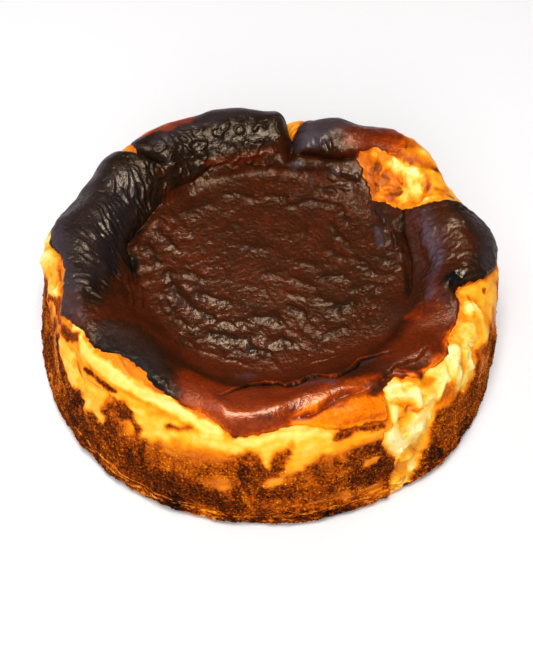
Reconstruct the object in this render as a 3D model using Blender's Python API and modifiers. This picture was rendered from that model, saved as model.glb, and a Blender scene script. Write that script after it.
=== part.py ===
"""A whole basque burnt cheesecake, uncut, as one solid.

It stands on its own flat foot at z = 0, with the origin at the middle of that foot and +Z up. The
side that faces -Y is the front. Lengths are metres and angles are degrees, counted round +Z from +X.
A place on the cake is given by its azimuth and its reach: the way along the mean half-section from
the middle of the top, out over the rim and down the side.
"""

import bmesh
import bpy
import numpy as np

# Driving sizes of the even cake, before it rose and sank
FOOT_RADIUS = 0.1160
RIM_RADIUS = 0.0964
RIM_HEIGHT = 0.0610
DISH_RADIUS = 0.0620
DISH_HEIGHT = 0.0434
SIDE_LEAN = 0.0030

MEAN_SECTION = (
    (0.0, DISH_HEIGHT - 0.0002),
    (0.030, DISH_HEIGHT - 0.0007),
    (0.052, DISH_HEIGHT - 0.0009),
    (DISH_RADIUS, DISH_HEIGHT),
    (DISH_RADIUS + 0.0070, DISH_HEIGHT + 0.0028),
    (DISH_RADIUS + 0.0126, DISH_HEIGHT + 0.0081),
    (RIM_RADIUS - 0.0156, RIM_HEIGHT - 0.0040),
    (RIM_RADIUS - 0.0080, RIM_HEIGHT - 0.0005),
    (RIM_RADIUS, RIM_HEIGHT),
    (RIM_RADIUS + 0.0070, RIM_HEIGHT - 0.0032),
    (RIM_RADIUS + 0.0122, RIM_HEIGHT - 0.0090),
    (FOOT_RADIUS - SIDE_LEAN - 0.0016, 0.0445),
    (FOOT_RADIUS - SIDE_LEAN, 0.0345),
    (FOOT_RADIUS - 0.0014, 0.0206),
    (FOOT_RADIUS - 0.0003, 0.0086),
    (FOOT_RADIUS, 0.0030),
    (FOOT_RADIUS - 0.0008, 0.0007),
    (FOOT_RADIUS - 0.0028, 0.0),
)

# How the rim rose unevenly: azimuth, reach, half-width in degrees, half-width, rise
SWELLS = (
    (4, 0.097, 17, 0.016, 0.0014),      # right lobe
    (8, 0.119, 11, 0.012, 0.0036),      # its outer end, which juts out
    (49, 0.114, 14, 0.014, 0.0070),     # custard shoulder behind the bare hollow
    (41, 0.088, 13, 0.010, -0.0030),    # the bare hollow itself
    (70, 0.098, 10, 0.014, 0.0010),     # back-right lobe
    (80, 0.106, 5, 0.020, -0.0045),     # its end, which rounds down into the cleft
    (112, 0.098, 20, 0.015, 0.0014),    # back-left lobe
    (106, 0.069, 34, 0.0055, -0.0022),  # the flat top reaches further out below it,
    (160, 0.0715, 14, 0.005, -0.0020),  # and below the left lobe
    (129, 0.112, 6, 0.014, -0.0020),
    (143, 0.112, 7, 0.012, 0.0034),     # corner of the left lobe beside its cleft
    (156, 0.111, 11, 0.018, -0.0045),   # left lobe drawn in under its rim
    (177, 0.118, 7, 0.012, 0.0022),     # its margin hangs over the side
    (172, 0.092, 26, 0.016, 0.0018),    # left lobe
    (196, 0.136, 13, 0.030, -0.0040),   # waist in the side below it
    (232, 0.104, 22, 0.018, -0.0030),   # front-left slope
    (245, 0.160, 15, 0.030, 0.0018),    # the side bellies out near the foot
    (319, 0.160, 9, 0.030, 0.0014),
    (272, 0.100, 26, 0.020, -0.0025),   # the front rim lies lower
    (276, 0.098, 24, 0.010, 0.0022),    # rolled fold along the front
    (325, 0.098, 20, 0.016, -0.0015),   # front-right slope
)

# Clefts where two swollen parts meet, rounded at the shoulders: line of (azimuth, reach), half-width, depth
CLEFTS = (
    (((84, 0.076), (83.5, 0.088), (85, 0.102), (87, 0.126)), 0.0085, 0.0150),
    (((132, 0.086), (136.5, 0.097), (138.5, 0.106), (139.5, 0.122)), 0.0060, 0.0080),
    (((-13, 0.0700), (-1, 0.0690), (8, 0.0709), (13, 0.0722), (22, 0.0745), (29, 0.0800)), 0.0065, 0.0070),
    (((148, 0.0800), (158, 0.0785), (167, 0.0770), (176, 0.0770), (180, 0.0720), (183, 0.0675),
      (190, 0.0665)), 0.0045, 0.0046),
    (((59, 0.0860), (67, 0.0830), (76, 0.0840), (83, 0.0800)), 0.0050, 0.0052),
    (((104, 0.0770), (116, 0.0755), (124, 0.0720), (136, 0.0735)), 0.0050, 0.0022),
    (((280, 0.1030), (286.8, 0.0998), (291, 0.0977), (300, 0.0983)), 0.0036, 0.0022),
    (((346, 0.0945), (350, 0.0990), (354, 0.1080)), 0.0050, 0.0046),
)

# The crack where the sunken top broke from the front fold, its edge curled up
CRACK = (
    (255, 0.0950), (258, 0.0925), (261, 0.0840), (265, 0.0740), (270, 0.0682), (275, 0.0700),
    (277, 0.0780), (281, 0.0750), (287, 0.0715), (290.5, 0.0715), (292.5, 0.0815), (297, 0.0805),
    (302, 0.0790), (308, 0.0725), (312, 0.0790), (316, 0.0860),
)
CRACK_WIDTH = 0.0016
CRACK_DEPTH = 0.0022

# Where the dark skin is torn off: the outline that it still covers, as (azimuth, reach)
TORN_EDGE = (
    (1, 0.117), (7, 0.1205), (13, 0.1175), (18, 0.1110), (22, 0.1040), (23.5, 0.0970), (26.4, 0.0885),
    (29, 0.0800), (33, 0.0780), (38, 0.0755), (43.5, 0.0725), (47.8, 0.0759), (51.8, 0.0796), (55.2, 0.0841),
    (58.4, 0.0872), (59.2, 0.0917), (56.2, 0.0946), (53.2, 0.0958), (50.4, 0.0973), (47.8, 0.1005),
    (46.5, 0.1035), (48.5, 0.1070), (54, 0.1120), (61, 0.1155), (68, 0.1180), (75, 0.119), (81, 0.117),
    (84, 0.095), (87, 0.114), (94, 0.121), (108, 0.123), (124, 0.121), (134, 0.116), (138, 0.099),
    (142, 0.112), (150, 0.118), (160, 0.118), (170, 0.114), (178.5, 0.1131), (184.5, 0.1057), (190, 0.1041),
    (197, 0.1070), (203, 0.1120), (208, 0.1080), (212, 0.1045), (218, 0.1055), (221, 0.1030),
    (224, 0.0980), (229, 0.0955), (233, 0.0960), (237, 0.0995), (243, 0.1015), (250.8, 0.1042),
    (254.6, 0.1049), (258.4, 0.1074), (261.6, 0.1101), (263.0, 0.1128), (266.2, 0.1118), (270.2, 0.1099),
    (274.8, 0.1074), (278.6, 0.1060), (281.8, 0.1072), (286.6, 0.1102), (290.6, 0.1119), (295, 0.1124),
    (298.8, 0.1131), (301.2, 0.1146), (301.5, 0.1085), (302.6, 0.1042), (303.8, 0.1003), (307, 0.0978),
    (309.6, 0.0965), (311.5, 0.1000), (313.5, 0.1050), (315.4, 0.1075),
    (317, 0.1045), (321.8, 0.1070), (326.6, 0.1080), (328.5, 0.1055), (331.4, 0.1018), (335.8, 0.1022),
    (342, 0.1000), (346.5, 0.0948), (350.5, 0.0990), (355, 0.1100),
)

# Where the crust broke off below the skin at the front right and left a window of bare custard
WINDOW_OUTLINE = (
    (304, 0.0960), (303.2, 0.1022), (302.8, 0.1069), (302.2, 0.1133), (302.0, 0.1194), (299.8, 0.1205),
    (298.8, 0.1276), (300.4, 0.1347), (302.6, 0.1411), (302.2, 0.1500), (301.2, 0.1600), (302, 0.1700),
    (305.6, 0.1700), (308.8, 0.1615), (310.6, 0.1499), (312.2, 0.1462), (313.0, 0.1411), (313.4, 0.1327),
    (315.2, 0.1270), (320.4, 0.1262), (323.6, 0.1305), (327.4, 0.1332), (331.4, 0.1325), (334.0, 0.1258),
    (337.0, 0.1180), (336.0, 0.1080), (330, 0.1000), (318, 0.0980), (311, 0.0940),
)
WINDOW_SUNK = 0.0018
WINDOW_EDGE = 0.0014

# How far the skin stands above the custard: azimuth, reach, half-width in degrees, half-width, height
SKIN_LIFT = 0.0008
THICK_SKIN = (
    (17, 0.096, 9, 0.016, 0.0034),      # the right lobe ends in a thick roll
    (0, 0.110, 12, 0.012, 0.0022),
    (66, 0.096, 8, 0.014, 0.0012),
    (178, 0.114, 14, 0.010, 0.0018),
    (268, 0.110, 20, 0.008, 0.0008),
    (296, 0.110, 10, 0.010, 0.0016),
    (325, 0.104, 14, 0.009, 0.0016),
)
ROLL_WIDTH = 0.0034

# Folds of the bare custard in that window: line of (azimuth, reach), half-width, height
WINDOW_FOLDS = (
    (((303.2, 0.1015), (307, 0.1020), (310, 0.1040), (312.8, 0.1062), (314.6, 0.1096)), 0.0013, 0.0011),
    (((302.6, 0.1050), (305.4, 0.1062), (308.4, 0.1084), (310.4, 0.1111), (311.6, 0.1145), (312, 0.1192)),
     0.0015, 0.0014),
    (((302.6, 0.1085), (304.4, 0.1104), (306.2, 0.1131), (307, 0.1165)), 0.0012, 0.0010),
    (((301.8, 0.1177), (301.6, 0.1226), (302.8, 0.1295)), 0.0014, 0.0009),
    (((305.4, 0.1190), (306.6, 0.1248), (308.4, 0.1285), (310.2, 0.1290), (311.8, 0.1347)), 0.0018, 0.0013),
    (((307.6, 0.1185), (308.6, 0.1165), (309.8, 0.1170), (310.2, 0.1195)), 0.0014, -0.0030),
    (((312.4, 0.1231), (313.6, 0.1293), (313, 0.1347)), 0.0014, 0.0010),
    (((322.4, 0.1135), (320, 0.1165), (317.8, 0.1199), (316.4, 0.1219)), 0.0016, 0.0013),
    (((326.4, 0.1116), (325, 0.1160), (323, 0.1185)), 0.0014, 0.0011),
    (((331.4, 0.1096), (328.8, 0.1126), (326.4, 0.1143)), 0.0013, 0.0010),
    (((302.4, 0.1450), (305.8, 0.1450), (309, 0.1462)), 0.0016, 0.0010),
    (((302.2, 0.1617), (305.4, 0.1580), (308.6, 0.1561), (310, 0.1534)), 0.0016, 0.0009),
)

# Crust that flaked off the side, or rose in a fold: line of (azimuth, reach), half-width, height
SIDE_MARKS = (
    (((212, 0.113), (217, 0.121), (222, 0.128)), 0.0045, -0.0022),
    (((209, 0.1078), (218, 0.1098), (228, 0.1088), (238, 0.1072), (247, 0.1074), (256, 0.1105)),
     0.0032, 0.0018),
    (((222, 0.123), (231, 0.120), (240, 0.122)), 0.0040, -0.0014),
    (((262.2, 0.124), (264.6, 0.136), (267.4, 0.152), (269.2, 0.163)), 0.0011, -0.0011),
    (((322, 0.124), (326, 0.140), (328, 0.160)), 0.0060, 0.0010),
    (((-4, 0.130), (-9, 0.145), (-14, 0.160)), 0.0060, 0.0008),
)

# Roughness of each kind of surface: lump size and height; where the sunken top and the side begin
CUSTARD_LUMPS = ((0.0100, 0.0011), (0.0040, 0.0005))
SIDE_LUMPS = ((0.0140, 0.0010), (0.0045, 0.0006))
SKIN_LUMPS = ((0.0300, 0.0030), (0.0120, 0.0010))
RIPPLE_LUMPS = ((0.0075, 0.0012),)
RIPPLE_REACH = 0.071
RIPPLE_FADE = 0.016
SIDE_REACH = 0.120
SIDE_FADE = 0.012
FOOT_FADE = 0.006
FRAY_SIZE = 0.0030
EDGE_FRAY = 0.0008
EDGE_BLEND = 0.008
NOISE_CELLS = 48
SEED = 17

# Fineness of the mesh; what lies this low is the foot, what lies this near the axis is the middle
TURN_STEPS = 420
SECTION_STEP = 0.0014
MERGE_BELOW = 0.00001
MOST_TRIANGLES = 11600
FLAT_BELOW = 0.0005
AXIS_BELOW = 0.0005

SKIN_COLOUR = (0.060, 0.016, 0.007, 1.0)
CUSTARD_COLOUR = (0.860, 0.500, 0.120, 1.0)
CRUST_COLOUR = (0.300, 0.095, 0.015, 1.0)
SKIN_ROUGHNESS = 0.38
CUSTARD_ROUGHNESS = 0.50
CRUST_ROUGHNESS = 0.72
CRUST_REACH = 0.128


def section_points():
    """The mean half-section, with the reach of each of its points."""
    points = np.array(MEAN_SECTION)
    steps = np.hypot(*np.diff(points, axis=0).T)
    return np.concatenate([[0.0], np.cumsum(steps)]), points


REACH, SECTION = section_points()


def smooth(share):
    share = np.clip(share, 0.0, 1.0)
    return share * share * (3.0 - 2.0 * share)


def turn(degrees):
    """An angle difference between -180 and 180."""
    return (degrees + 180.0) % 360.0 - 180.0


def on_section(reach):
    """The point (radius, height) of the mean half-section at a reach, on a smooth curve."""
    slopes = np.gradient(SECTION, REACH, axis=0)
    i = np.clip(np.searchsorted(REACH, reach) - 1, 0, len(REACH) - 2)
    step = (REACH[i + 1] - REACH[i])[..., None]
    t = (reach[..., None] - REACH[i][..., None]) / step
    start = (1 + 2 * t) * (1 - t) ** 2 * SECTION[i] + t * (1 - t) ** 2 * step * slopes[i]
    end = t * t * (3 - 2 * t) * SECTION[i + 1] + t * t * (t - 1) * step * slopes[i + 1]
    return start + end


def swells(azimuth, reach, table):
    """The sum of the soft mounds in a table like SWELLS."""
    height = np.zeros(azimuth.shape)
    for middle, at, spread, width, rise in table:
        height += rise * np.exp(-((turn(azimuth - middle) / spread) ** 2) - ((reach - at) / width) ** 2)
    return height


def from_line(azimuth, reach, line):
    """The distance from a line of (azimuth, reach) points, and the share of the line's run there."""
    nearest = np.full(azimuth.shape, 1.0)
    share = np.zeros(azimuth.shape)
    pieces = len(line) - 1
    for k, ((start_azimuth, start), (end_azimuth, end)) in enumerate(zip(line, line[1:])):
        metres_a_degree = np.radians(on_section(np.array((start + end) / 2))[0])
        x = turn(azimuth - start_azimuth) * metres_a_degree
        y = reach - start
        run = turn(end_azimuth - start_azimuth) * metres_a_degree
        rise = end - start
        along = np.clip((x * run + y * rise) / (run * run + rise * rise), 0, 1)
        distance = np.hypot(x - along * run, y - along * rise)
        closer = distance < nearest
        nearest = np.where(closer, distance, nearest)
        share = np.where(closer, (k + along) / pieces, share)
    return nearest, share


def lines(azimuth, reach, table):
    """The sum of the folds and streaks in a table like SIDE_MARKS, each fading out at its ends."""
    height = np.zeros(azimuth.shape)
    for line, width, rise in table:
        distance, share = from_line(azimuth, reach, line)
        fade = smooth(np.minimum(share, 1 - share) * 4 + 0.25)
        height += rise * fade * np.exp(-((distance / width) ** 1.6))
    return height


def clefts(azimuth, reach, table):
    """How deep the sharp valleys with rounded shoulders in a table like CLEFTS are."""
    deepest = np.zeros(azimuth.shape)
    for line, width, depth in table:
        distance, share = from_line(azimuth, reach, line)
        fade = smooth(np.minimum(share, 1 - share) * 4 + 0.3)
        shoulder = 1 - np.clip(distance / (width * (0.4 + 0.6 * fade)), 0, 1)
        deepest = np.maximum(deepest, depth * fade * (1 - np.sqrt(1 - shoulder ** 2)))
    return deepest


def inside_outline(azimuth, reach, outline):
    """The distance inside a closed outline of (azimuth, reach) points; less than zero outside it."""
    def plane(a, u):
        return u * np.cos(np.radians(a)), u * np.sin(np.radians(a))

    x, y = plane(azimuth, reach)
    corners = np.array([plane(a, u) for a, u in outline])
    nearest = np.full(x.shape, 1.0)
    inside = np.zeros(x.shape, bool)
    for (x0, y0), (x1, y1) in zip(corners, np.roll(corners, -1, axis=0)):
        run, rise = x1 - x0, y1 - y0
        along = np.clip(((x - x0) * run + (y - y0) * rise) / (run * run + rise * rise), 0, 1)
        nearest = np.minimum(nearest, np.hypot(x - x0 - along * run, y - y0 - along * rise))
        crosses = ((y0 > y) != (y1 > y)) & (x < x0 + (y - y0) * run / (rise if rise else 1.0))
        inside ^= crosses
    return np.where(inside, nearest, -nearest)


def lumps(points, size, seed):
    """Soft random relief from -1 to 1, with lumps about this size across."""
    slopes = np.random.default_rng(seed).normal(size=(NOISE_CELLS,) * 3 + (3,))
    place = points / size + NOISE_CELLS
    low = np.floor(place).astype(int)
    part = place - low
    share = part ** 3 * (part * (part * 6 - 15) + 10)
    total = np.zeros(points.shape[:-1])
    for corner in np.ndindex(2, 2, 2):
        weight = np.prod(np.where(corner, share, 1 - share), axis=-1)
        i, j, k = np.moveaxis((low + corner) % NOISE_CELLS, -1, 0)
        total += weight * ((part - corner) * slopes[i, j, k]).sum(axis=-1)
    return np.clip(total, -1, 1)


def rough(points, table, seed):
    return sum(height * lumps(points, size, seed + k) for k, (size, height) in enumerate(table))


def on_cake(azimuth, reach, lift):
    """The point on the cake at this azimuth and reach, lifted square to the mean section."""
    point = on_section(reach)
    along = on_section(reach + 0.0003) - on_section(reach - 0.0003)
    along /= np.linalg.norm(along, axis=-1, keepdims=True)
    radius = point[..., 0] - along[..., 1] * lift
    height = point[..., 1] + along[..., 0] * lift
    angle = np.radians(azimuth)
    return np.stack([radius * np.cos(angle), radius * np.sin(angle), height], -1)


def relief(azimuth, reach):
    """All that lifts or lowers the cake's surface from its mean section."""
    even = on_cake(azimuth, reach, np.zeros(azimuth.shape))
    depth = inside_outline(azimuth, reach, TORN_EDGE) + EDGE_FRAY * lumps(even, FRAY_SIZE, SEED)
    covered = smooth(0.5 + depth / EDGE_BLEND)
    thickness = SKIN_LIFT + swells(azimuth, reach, THICK_SKIN)
    rounded = np.sqrt(1 - (1 - np.clip(depth / ROLL_WIDTH, 0, 1)) ** 2)
    ripples = smooth((RIPPLE_REACH - reach) / RIPPLE_FADE)
    side = smooth((reach - SIDE_REACH) / SIDE_FADE)
    height = swells(azimuth, reach, SWELLS) - clefts(azimuth, reach, CLEFTS)
    height += lines(azimuth, reach, ((CRACK, CRACK_WIDTH, -CRACK_DEPTH),))
    height += lines(azimuth, reach, SIDE_MARKS) * (1 - covered)
    height += lines(azimuth, reach, WINDOW_FOLDS)
    height -= WINDOW_SUNK * smooth(0.5 + inside_outline(azimuth, reach, WINDOW_OUTLINE) / WINDOW_EDGE)
    height += thickness * rounded
    height += ripples * rough(even, RIPPLE_LUMPS, SEED + 1)
    height += covered * (1 - ripples) * rough(even, SKIN_LUMPS, SEED + 3)
    height += (1 - covered) * (1 - side) * rough(even, CUSTARD_LUMPS, SEED + 5)
    height += side * rough(even, SIDE_LUMPS, SEED + 7)
    return height * smooth((REACH[-1] - reach) / FOOT_FADE)


def turned_blank():
    """The even cake: the mean half-section, turned, as a closed mesh object."""
    reach = np.linspace(0.0, REACH[-1], round(REACH[-1] / SECTION_STEP) + 1)
    profile = [(radius, height) for radius, height in on_section(reach)] + [(0.0, 0.0)]
    mesh = bpy.data.meshes.new("half_section")
    mesh.from_pydata([(x, 0.0, z) for x, z in profile], [(i, i + 1) for i in range(len(profile) - 1)], [])
    blank = bpy.data.objects.new("blank", mesh)
    bpy.context.scene.collection.objects.link(blank)
    screw = blank.modifiers.new("turn", "SCREW")
    screw.steps = TURN_STEPS
    screw.render_steps = TURN_STEPS
    screw.use_merge_vertices = True
    screw.merge_threshold = MERGE_BELOW
    return blank, reach


def plain_mesh(source):
    """The object's evaluated mesh as a mesh of its own; the object is removed."""
    graph = bpy.context.evaluated_depsgraph_get()
    mesh = bpy.data.meshes.new_from_object(source.evaluated_get(graph))
    bpy.data.objects.remove(source, do_unlink=True)
    return mesh


def risen_mesh():
    """The turned blank with each point above the foot moved to its place on the baked cake."""
    blank, reach = turned_blank()
    mesh = plain_mesh(blank)
    places = np.empty(len(mesh.vertices) * 3)
    mesh.vertices.foreach_get("co", places)
    places = places.reshape(-1, 3)
    radius = np.hypot(places[:, 0], places[:, 1])
    even = on_section(reach)
    nearest = np.argmin(np.hypot(radius[:, None] - even[:, 0], places[:, 2, None] - even[:, 1]), axis=1)
    azimuth = np.degrees(np.arctan2(places[:, 1], places[:, 0]))
    upper = (places[:, 2] > FLAT_BELOW) & (radius > AXIS_BELOW)
    moved = on_cake(azimuth[upper], reach[nearest[upper]], relief(azimuth[upper], reach[nearest[upper]]))
    places[upper] = moved
    mesh.vertices.foreach_set("co", places.ravel())
    mesh.update()
    return mesh


def thinned(mesh):
    """The same form in fewer triangles, with its foot flat on z = 0."""
    fine = bpy.data.objects.new("fine", mesh)
    bpy.context.scene.collection.objects.link(fine)
    mesh.calc_loop_triangles()
    fewer = fine.modifiers.new("fewer", "DECIMATE")
    fewer.ratio = MOST_TRIANGLES / len(mesh.loop_triangles)
    fewer.use_collapse_triangulate = True
    coarse = plain_mesh(fine)
    for vertex in coarse.vertices:
        if vertex.co.z < FLAT_BELOW:
            vertex.co.z = 0.0
    return coarse


def finish(name, colour, roughness):
    """A dry, opaque finish in one colour."""
    material = bpy.data.materials.new(name)
    material.use_nodes = True
    shader = material.node_tree.nodes["Principled BSDF"]
    shader.inputs["Base Color"].default_value = colour
    shader.inputs["Roughness"].default_value = roughness
    shader.inputs["Metallic"].default_value = 0.0
    return material


def paint(cake):
    """Dark skin on top, bare custard below its torn edge, toasted crust down the side."""
    for name, colour, roughness in (
        ("burnt_skin", SKIN_COLOUR, SKIN_ROUGHNESS),
        ("custard", CUSTARD_COLOUR, CUSTARD_ROUGHNESS),
        ("toasted_crust", CRUST_COLOUR, CRUST_ROUGHNESS),
    ):
        cake.data.materials.append(finish(name, colour, roughness))
    middles = np.array([face.center for face in cake.data.polygons])
    azimuth = np.degrees(np.arctan2(middles[:, 1], middles[:, 0]))
    radius = np.hypot(middles[:, 0], middles[:, 1])
    reach = np.linspace(0.0, REACH[-1], 400)
    even = on_section(reach)
    nearest = np.argmin(np.hypot(radius[:, None] - even[:, 0], middles[:, 2, None] - even[:, 1]), axis=1)
    depth = inside_outline(azimuth, reach[nearest], TORN_EDGE)
    kinds = np.where(depth > 0, 0, np.where(reach[nearest] > CRUST_REACH, 2, 1))
    cake.data.polygons.foreach_set("material_index", kinds.astype(np.int32))


def build_cheesecake():
    collection = bpy.data.collections.new("cheesecake")
    bpy.context.scene.collection.children.link(collection)
    cake = bpy.data.objects.new("cheesecake", thinned(risen_mesh()))
    collection.objects.link(cake)
    body = bmesh.new()
    body.from_mesh(cake.data)
    bmesh.ops.remove_doubles(body, verts=body.verts, dist=MERGE_BELOW)
    bmesh.ops.recalc_face_normals(body, faces=body.faces)
    body.to_mesh(cake.data)
    body.free()
    paint(cake)
    cake.data.shade_smooth()
    return cake


for old in list(bpy.data.objects):
    bpy.data.objects.remove(old, do_unlink=True)
build_cheesecake()
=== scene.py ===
import bpy
import numpy as np
from mathutils import Matrix, Vector


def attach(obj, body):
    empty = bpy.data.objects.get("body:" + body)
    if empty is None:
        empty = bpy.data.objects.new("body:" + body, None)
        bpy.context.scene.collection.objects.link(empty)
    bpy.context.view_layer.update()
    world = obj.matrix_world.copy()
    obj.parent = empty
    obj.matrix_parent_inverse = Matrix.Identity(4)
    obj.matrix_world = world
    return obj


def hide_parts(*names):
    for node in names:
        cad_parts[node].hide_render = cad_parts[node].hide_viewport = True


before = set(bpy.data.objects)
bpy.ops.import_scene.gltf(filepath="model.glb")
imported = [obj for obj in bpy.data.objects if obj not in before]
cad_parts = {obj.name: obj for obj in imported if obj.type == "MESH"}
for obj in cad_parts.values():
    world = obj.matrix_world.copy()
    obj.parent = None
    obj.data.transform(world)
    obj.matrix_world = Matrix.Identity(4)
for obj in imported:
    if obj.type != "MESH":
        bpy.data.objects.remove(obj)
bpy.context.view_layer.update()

# The risen cake. A cream-cheese custard was baked very hot in a paper-lined tin, rose above it, browned
# and sank in the middle, so every piece below is a layer of one form. A place on it is an azimuth in
# degrees round +Z from +X and a reach in metres: from the middle of the top, over the rim, down the side.
# All sizes are in metres and all azimuths and their widths in degrees.
FOOT_RADIUS = 0.1160
RIM_RADIUS = 0.0964
RIM_HEIGHT = 0.0610
DISH_RADIUS = 0.0620
DISH_HEIGHT = 0.0434
SIDE_LEAN = 0.0030

MEAN_SECTION = np.array((
    (0.0, DISH_HEIGHT - 0.0002),
    (0.030, DISH_HEIGHT - 0.0007),
    (0.052, DISH_HEIGHT - 0.0009),
    (DISH_RADIUS, DISH_HEIGHT),
    (DISH_RADIUS + 0.0070, DISH_HEIGHT + 0.0028),
    (DISH_RADIUS + 0.0126, DISH_HEIGHT + 0.0081),
    (RIM_RADIUS - 0.0156, RIM_HEIGHT - 0.0040),
    (RIM_RADIUS - 0.0080, RIM_HEIGHT - 0.0005),
    (RIM_RADIUS, RIM_HEIGHT),
    (RIM_RADIUS + 0.0070, RIM_HEIGHT - 0.0032),
    (RIM_RADIUS + 0.0122, RIM_HEIGHT - 0.0090),
    (FOOT_RADIUS - SIDE_LEAN - 0.0016, 0.0445),
    (FOOT_RADIUS - SIDE_LEAN, 0.0345),
    (FOOT_RADIUS - 0.0014, 0.0206),
    (FOOT_RADIUS - 0.0003, 0.0086),
    (FOOT_RADIUS, 0.0030),
    (FOOT_RADIUS - 0.0008, 0.0007),
    (FOOT_RADIUS - 0.0028, 0.0),
))
SECTION_REACH = np.concatenate([[0.0], np.cumsum(np.hypot(*np.diff(MEAN_SECTION, axis=0).T))])
WHOLE_REACH = SECTION_REACH[-1]

# How the rim rose unevenly: azimuth, reach, half-width in degrees, half-width, rise
SWELLS = (
    (4, 0.097, 17, 0.016, 0.0014),  # right lobe
    (8, 0.119, 11, 0.012, 0.0036),  # its outer end, which juts out
    (49, 0.114, 14, 0.014, 0.007),  # custard shoulder behind the bare hollow
    (32, 0.119, 8, 0.012, -0.003),  # and its lower end beside the right lobe
    (41, 0.088, 13, 0.01, -0.003),  # the bare hollow itself
    (70, 0.098, 10, 0.014, 0.001),  # back-right lobe
    (80, 0.106, 5, 0.02, -0.0045),  # its end, which rounds down into the cleft
    (83, 0.1, 4, 0.016, -0.0026),
    (112, 0.098, 20, 0.015, 0.0014),  # back-left lobe
    (106, 0.069, 34, 0.0055, -0.0022),  # the flat top reaches further out below it,
    (160, 0.0715, 14, 0.005, -0.002),  # and below the left lobe
    (129, 0.112, 6, 0.014, -0.001),
    (121, 0.11, 9, 0.008, 0.002),  # its back edge
    (143, 0.112, 7, 0.012, 0.0034),  # corner of the left lobe beside its cleft
    (156, 0.111, 11, 0.018, -0.0045),  # left lobe drawn in under its rim
    (177, 0.118, 7, 0.012, 0.0022),  # its margin hangs over the side
    (172, 0.092, 26, 0.016, 0.0018),  # left lobe
    (196, 0.136, 13, 0.03, -0.004),  # waist in the side below it
    (232, 0.104, 22, 0.018, -0.003),  # front-left slope
    (245, 0.16, 15, 0.03, 0.0018),  # the side bellies out near the foot
    (319, 0.16, 9, 0.03, 0.0014),
    (272, 0.1, 26, 0.02, -0.0025),  # the front rim lies lower
    (276, 0.098, 24, 0.01, 0.0022),  # rolled fold along the front
    (325, 0.098, 20, 0.016, -0.0015),  # front-right slope
)

# Clefts where two swollen parts meet, with rounded shoulders: line of places, half-width, depth
CLEFTS = (
    (((84, 0.076), (83.5, 0.088), (85, 0.102), (87, 0.126)), 0.0085, 0.015),
    (((132, 0.086), (136.5, 0.097), (138.5, 0.106), (139.5, 0.122)), 0.006, 0.008),
    (((-13, 0.07), (-1, 0.069), (8, 0.0705), (13, 0.0714), (22, 0.0732), (28.4, 0.0792)), 0.0044, 0.0042),
    (((143, 0.0712), (154.8, 0.07), (161.2, 0.0706), (169.4, 0.0714), (176.8, 0.0678), (183.4, 0.0655),
     (190, 0.065)), 0.0042, 0.0036),
    (((59, 0.0905), (61, 0.0868), (64, 0.0838), (70, 0.0814), (76, 0.0812), (83, 0.08)), 0.0046, 0.005),
    (((104, 0.077), (116, 0.0755), (124, 0.072), (136, 0.0735)), 0.005, 0.0022),
    (((280, 0.103), (286.8, 0.0998), (291, 0.0977), (300, 0.0983)), 0.0036, 0.0022),
    (((346, 0.0945), (350, 0.099), (354, 0.108)), 0.005, 0.0046),
)

# Where the dark skin is torn off: the outline that it still covers
TORN_EDGE = (
    (1, 0.117), (7, 0.1205), (13, 0.1175), (18, 0.111), (22, 0.104), (23.5, 0.097), (26.4, 0.0885),
    (29, 0.08), (33, 0.078), (38, 0.0755), (43.5, 0.0725), (47.8, 0.0759), (51.8, 0.0796), (55.2, 0.0841),
    (58.4, 0.0872), (59.2, 0.0917), (56.2, 0.0946), (53.2, 0.0958), (50.4, 0.0973), (47.8, 0.1005),
    (46.5, 0.1035), (48.5, 0.107), (54, 0.112), (61, 0.1155), (68, 0.118), (75, 0.119), (81, 0.117),
    (84, 0.095), (87, 0.114), (94, 0.121), (108, 0.123), (124, 0.121), (134, 0.116), (138, 0.099),
    (142, 0.112), (150, 0.118), (160, 0.118), (170, 0.114), (178.5, 0.1131), (184.5, 0.1057),
    (190, 0.1041), (197, 0.107), (203, 0.112), (208, 0.108), (212, 0.1045), (218, 0.1055), (221, 0.103),
    (224, 0.098), (229, 0.0955), (233, 0.096), (237, 0.0995), (243, 0.1015), (250.8, 0.1042),
    (254.6, 0.1049), (258.4, 0.1074), (261.6, 0.1101), (263.0, 0.1128), (266.2, 0.1118), (270.2, 0.1099),
    (274.8, 0.1074), (278.6, 0.106), (281.8, 0.1072), (286.6, 0.1102), (290.6, 0.1119), (295, 0.1124),
    (298.8, 0.1131), (301.2, 0.1146), (301.5, 0.1085), (302.6, 0.1042), (303.8, 0.1003), (307, 0.0978),
    (309.6, 0.0965), (311.5, 0.1), (313.5, 0.105), (315.4, 0.1075), (317, 0.1045), (321.8, 0.107),
    (326.6, 0.108), (328.5, 0.1055), (331.4, 0.1018), (335.8, 0.1022), (342, 0.1), (346.5, 0.0948),
    (350.5, 0.099), (355, 0.11),
)
EDGE_FRAYS = ((0.0030, 0.0008), (0.0012, 0.0004))

# Where the crust broke off below the skin at the front right and left a window of bare custard
WINDOW_OUTLINE = (
    (304, 0.096), (303.2, 0.1022), (302.8, 0.1069), (302.2, 0.1133), (302.0, 0.1194), (299.8, 0.1205),
    (298.8, 0.1276), (300.4, 0.1347), (302.6, 0.1411), (302.2, 0.15), (301.2, 0.16), (302, 0.17),
    (305.6, 0.17), (308.8, 0.1615), (310.6, 0.1499), (312.2, 0.1462), (313.0, 0.1411), (313.4, 0.1327),
    (315.2, 0.127), (320.4, 0.1262), (323.6, 0.1305), (327.4, 0.1332), (331.4, 0.1325), (334.0, 0.1258),
    (337.0, 0.118), (336.0, 0.108), (330, 0.1), (318, 0.098), (311, 0.094),
)
WINDOW_SUNK = 0.0018

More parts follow.
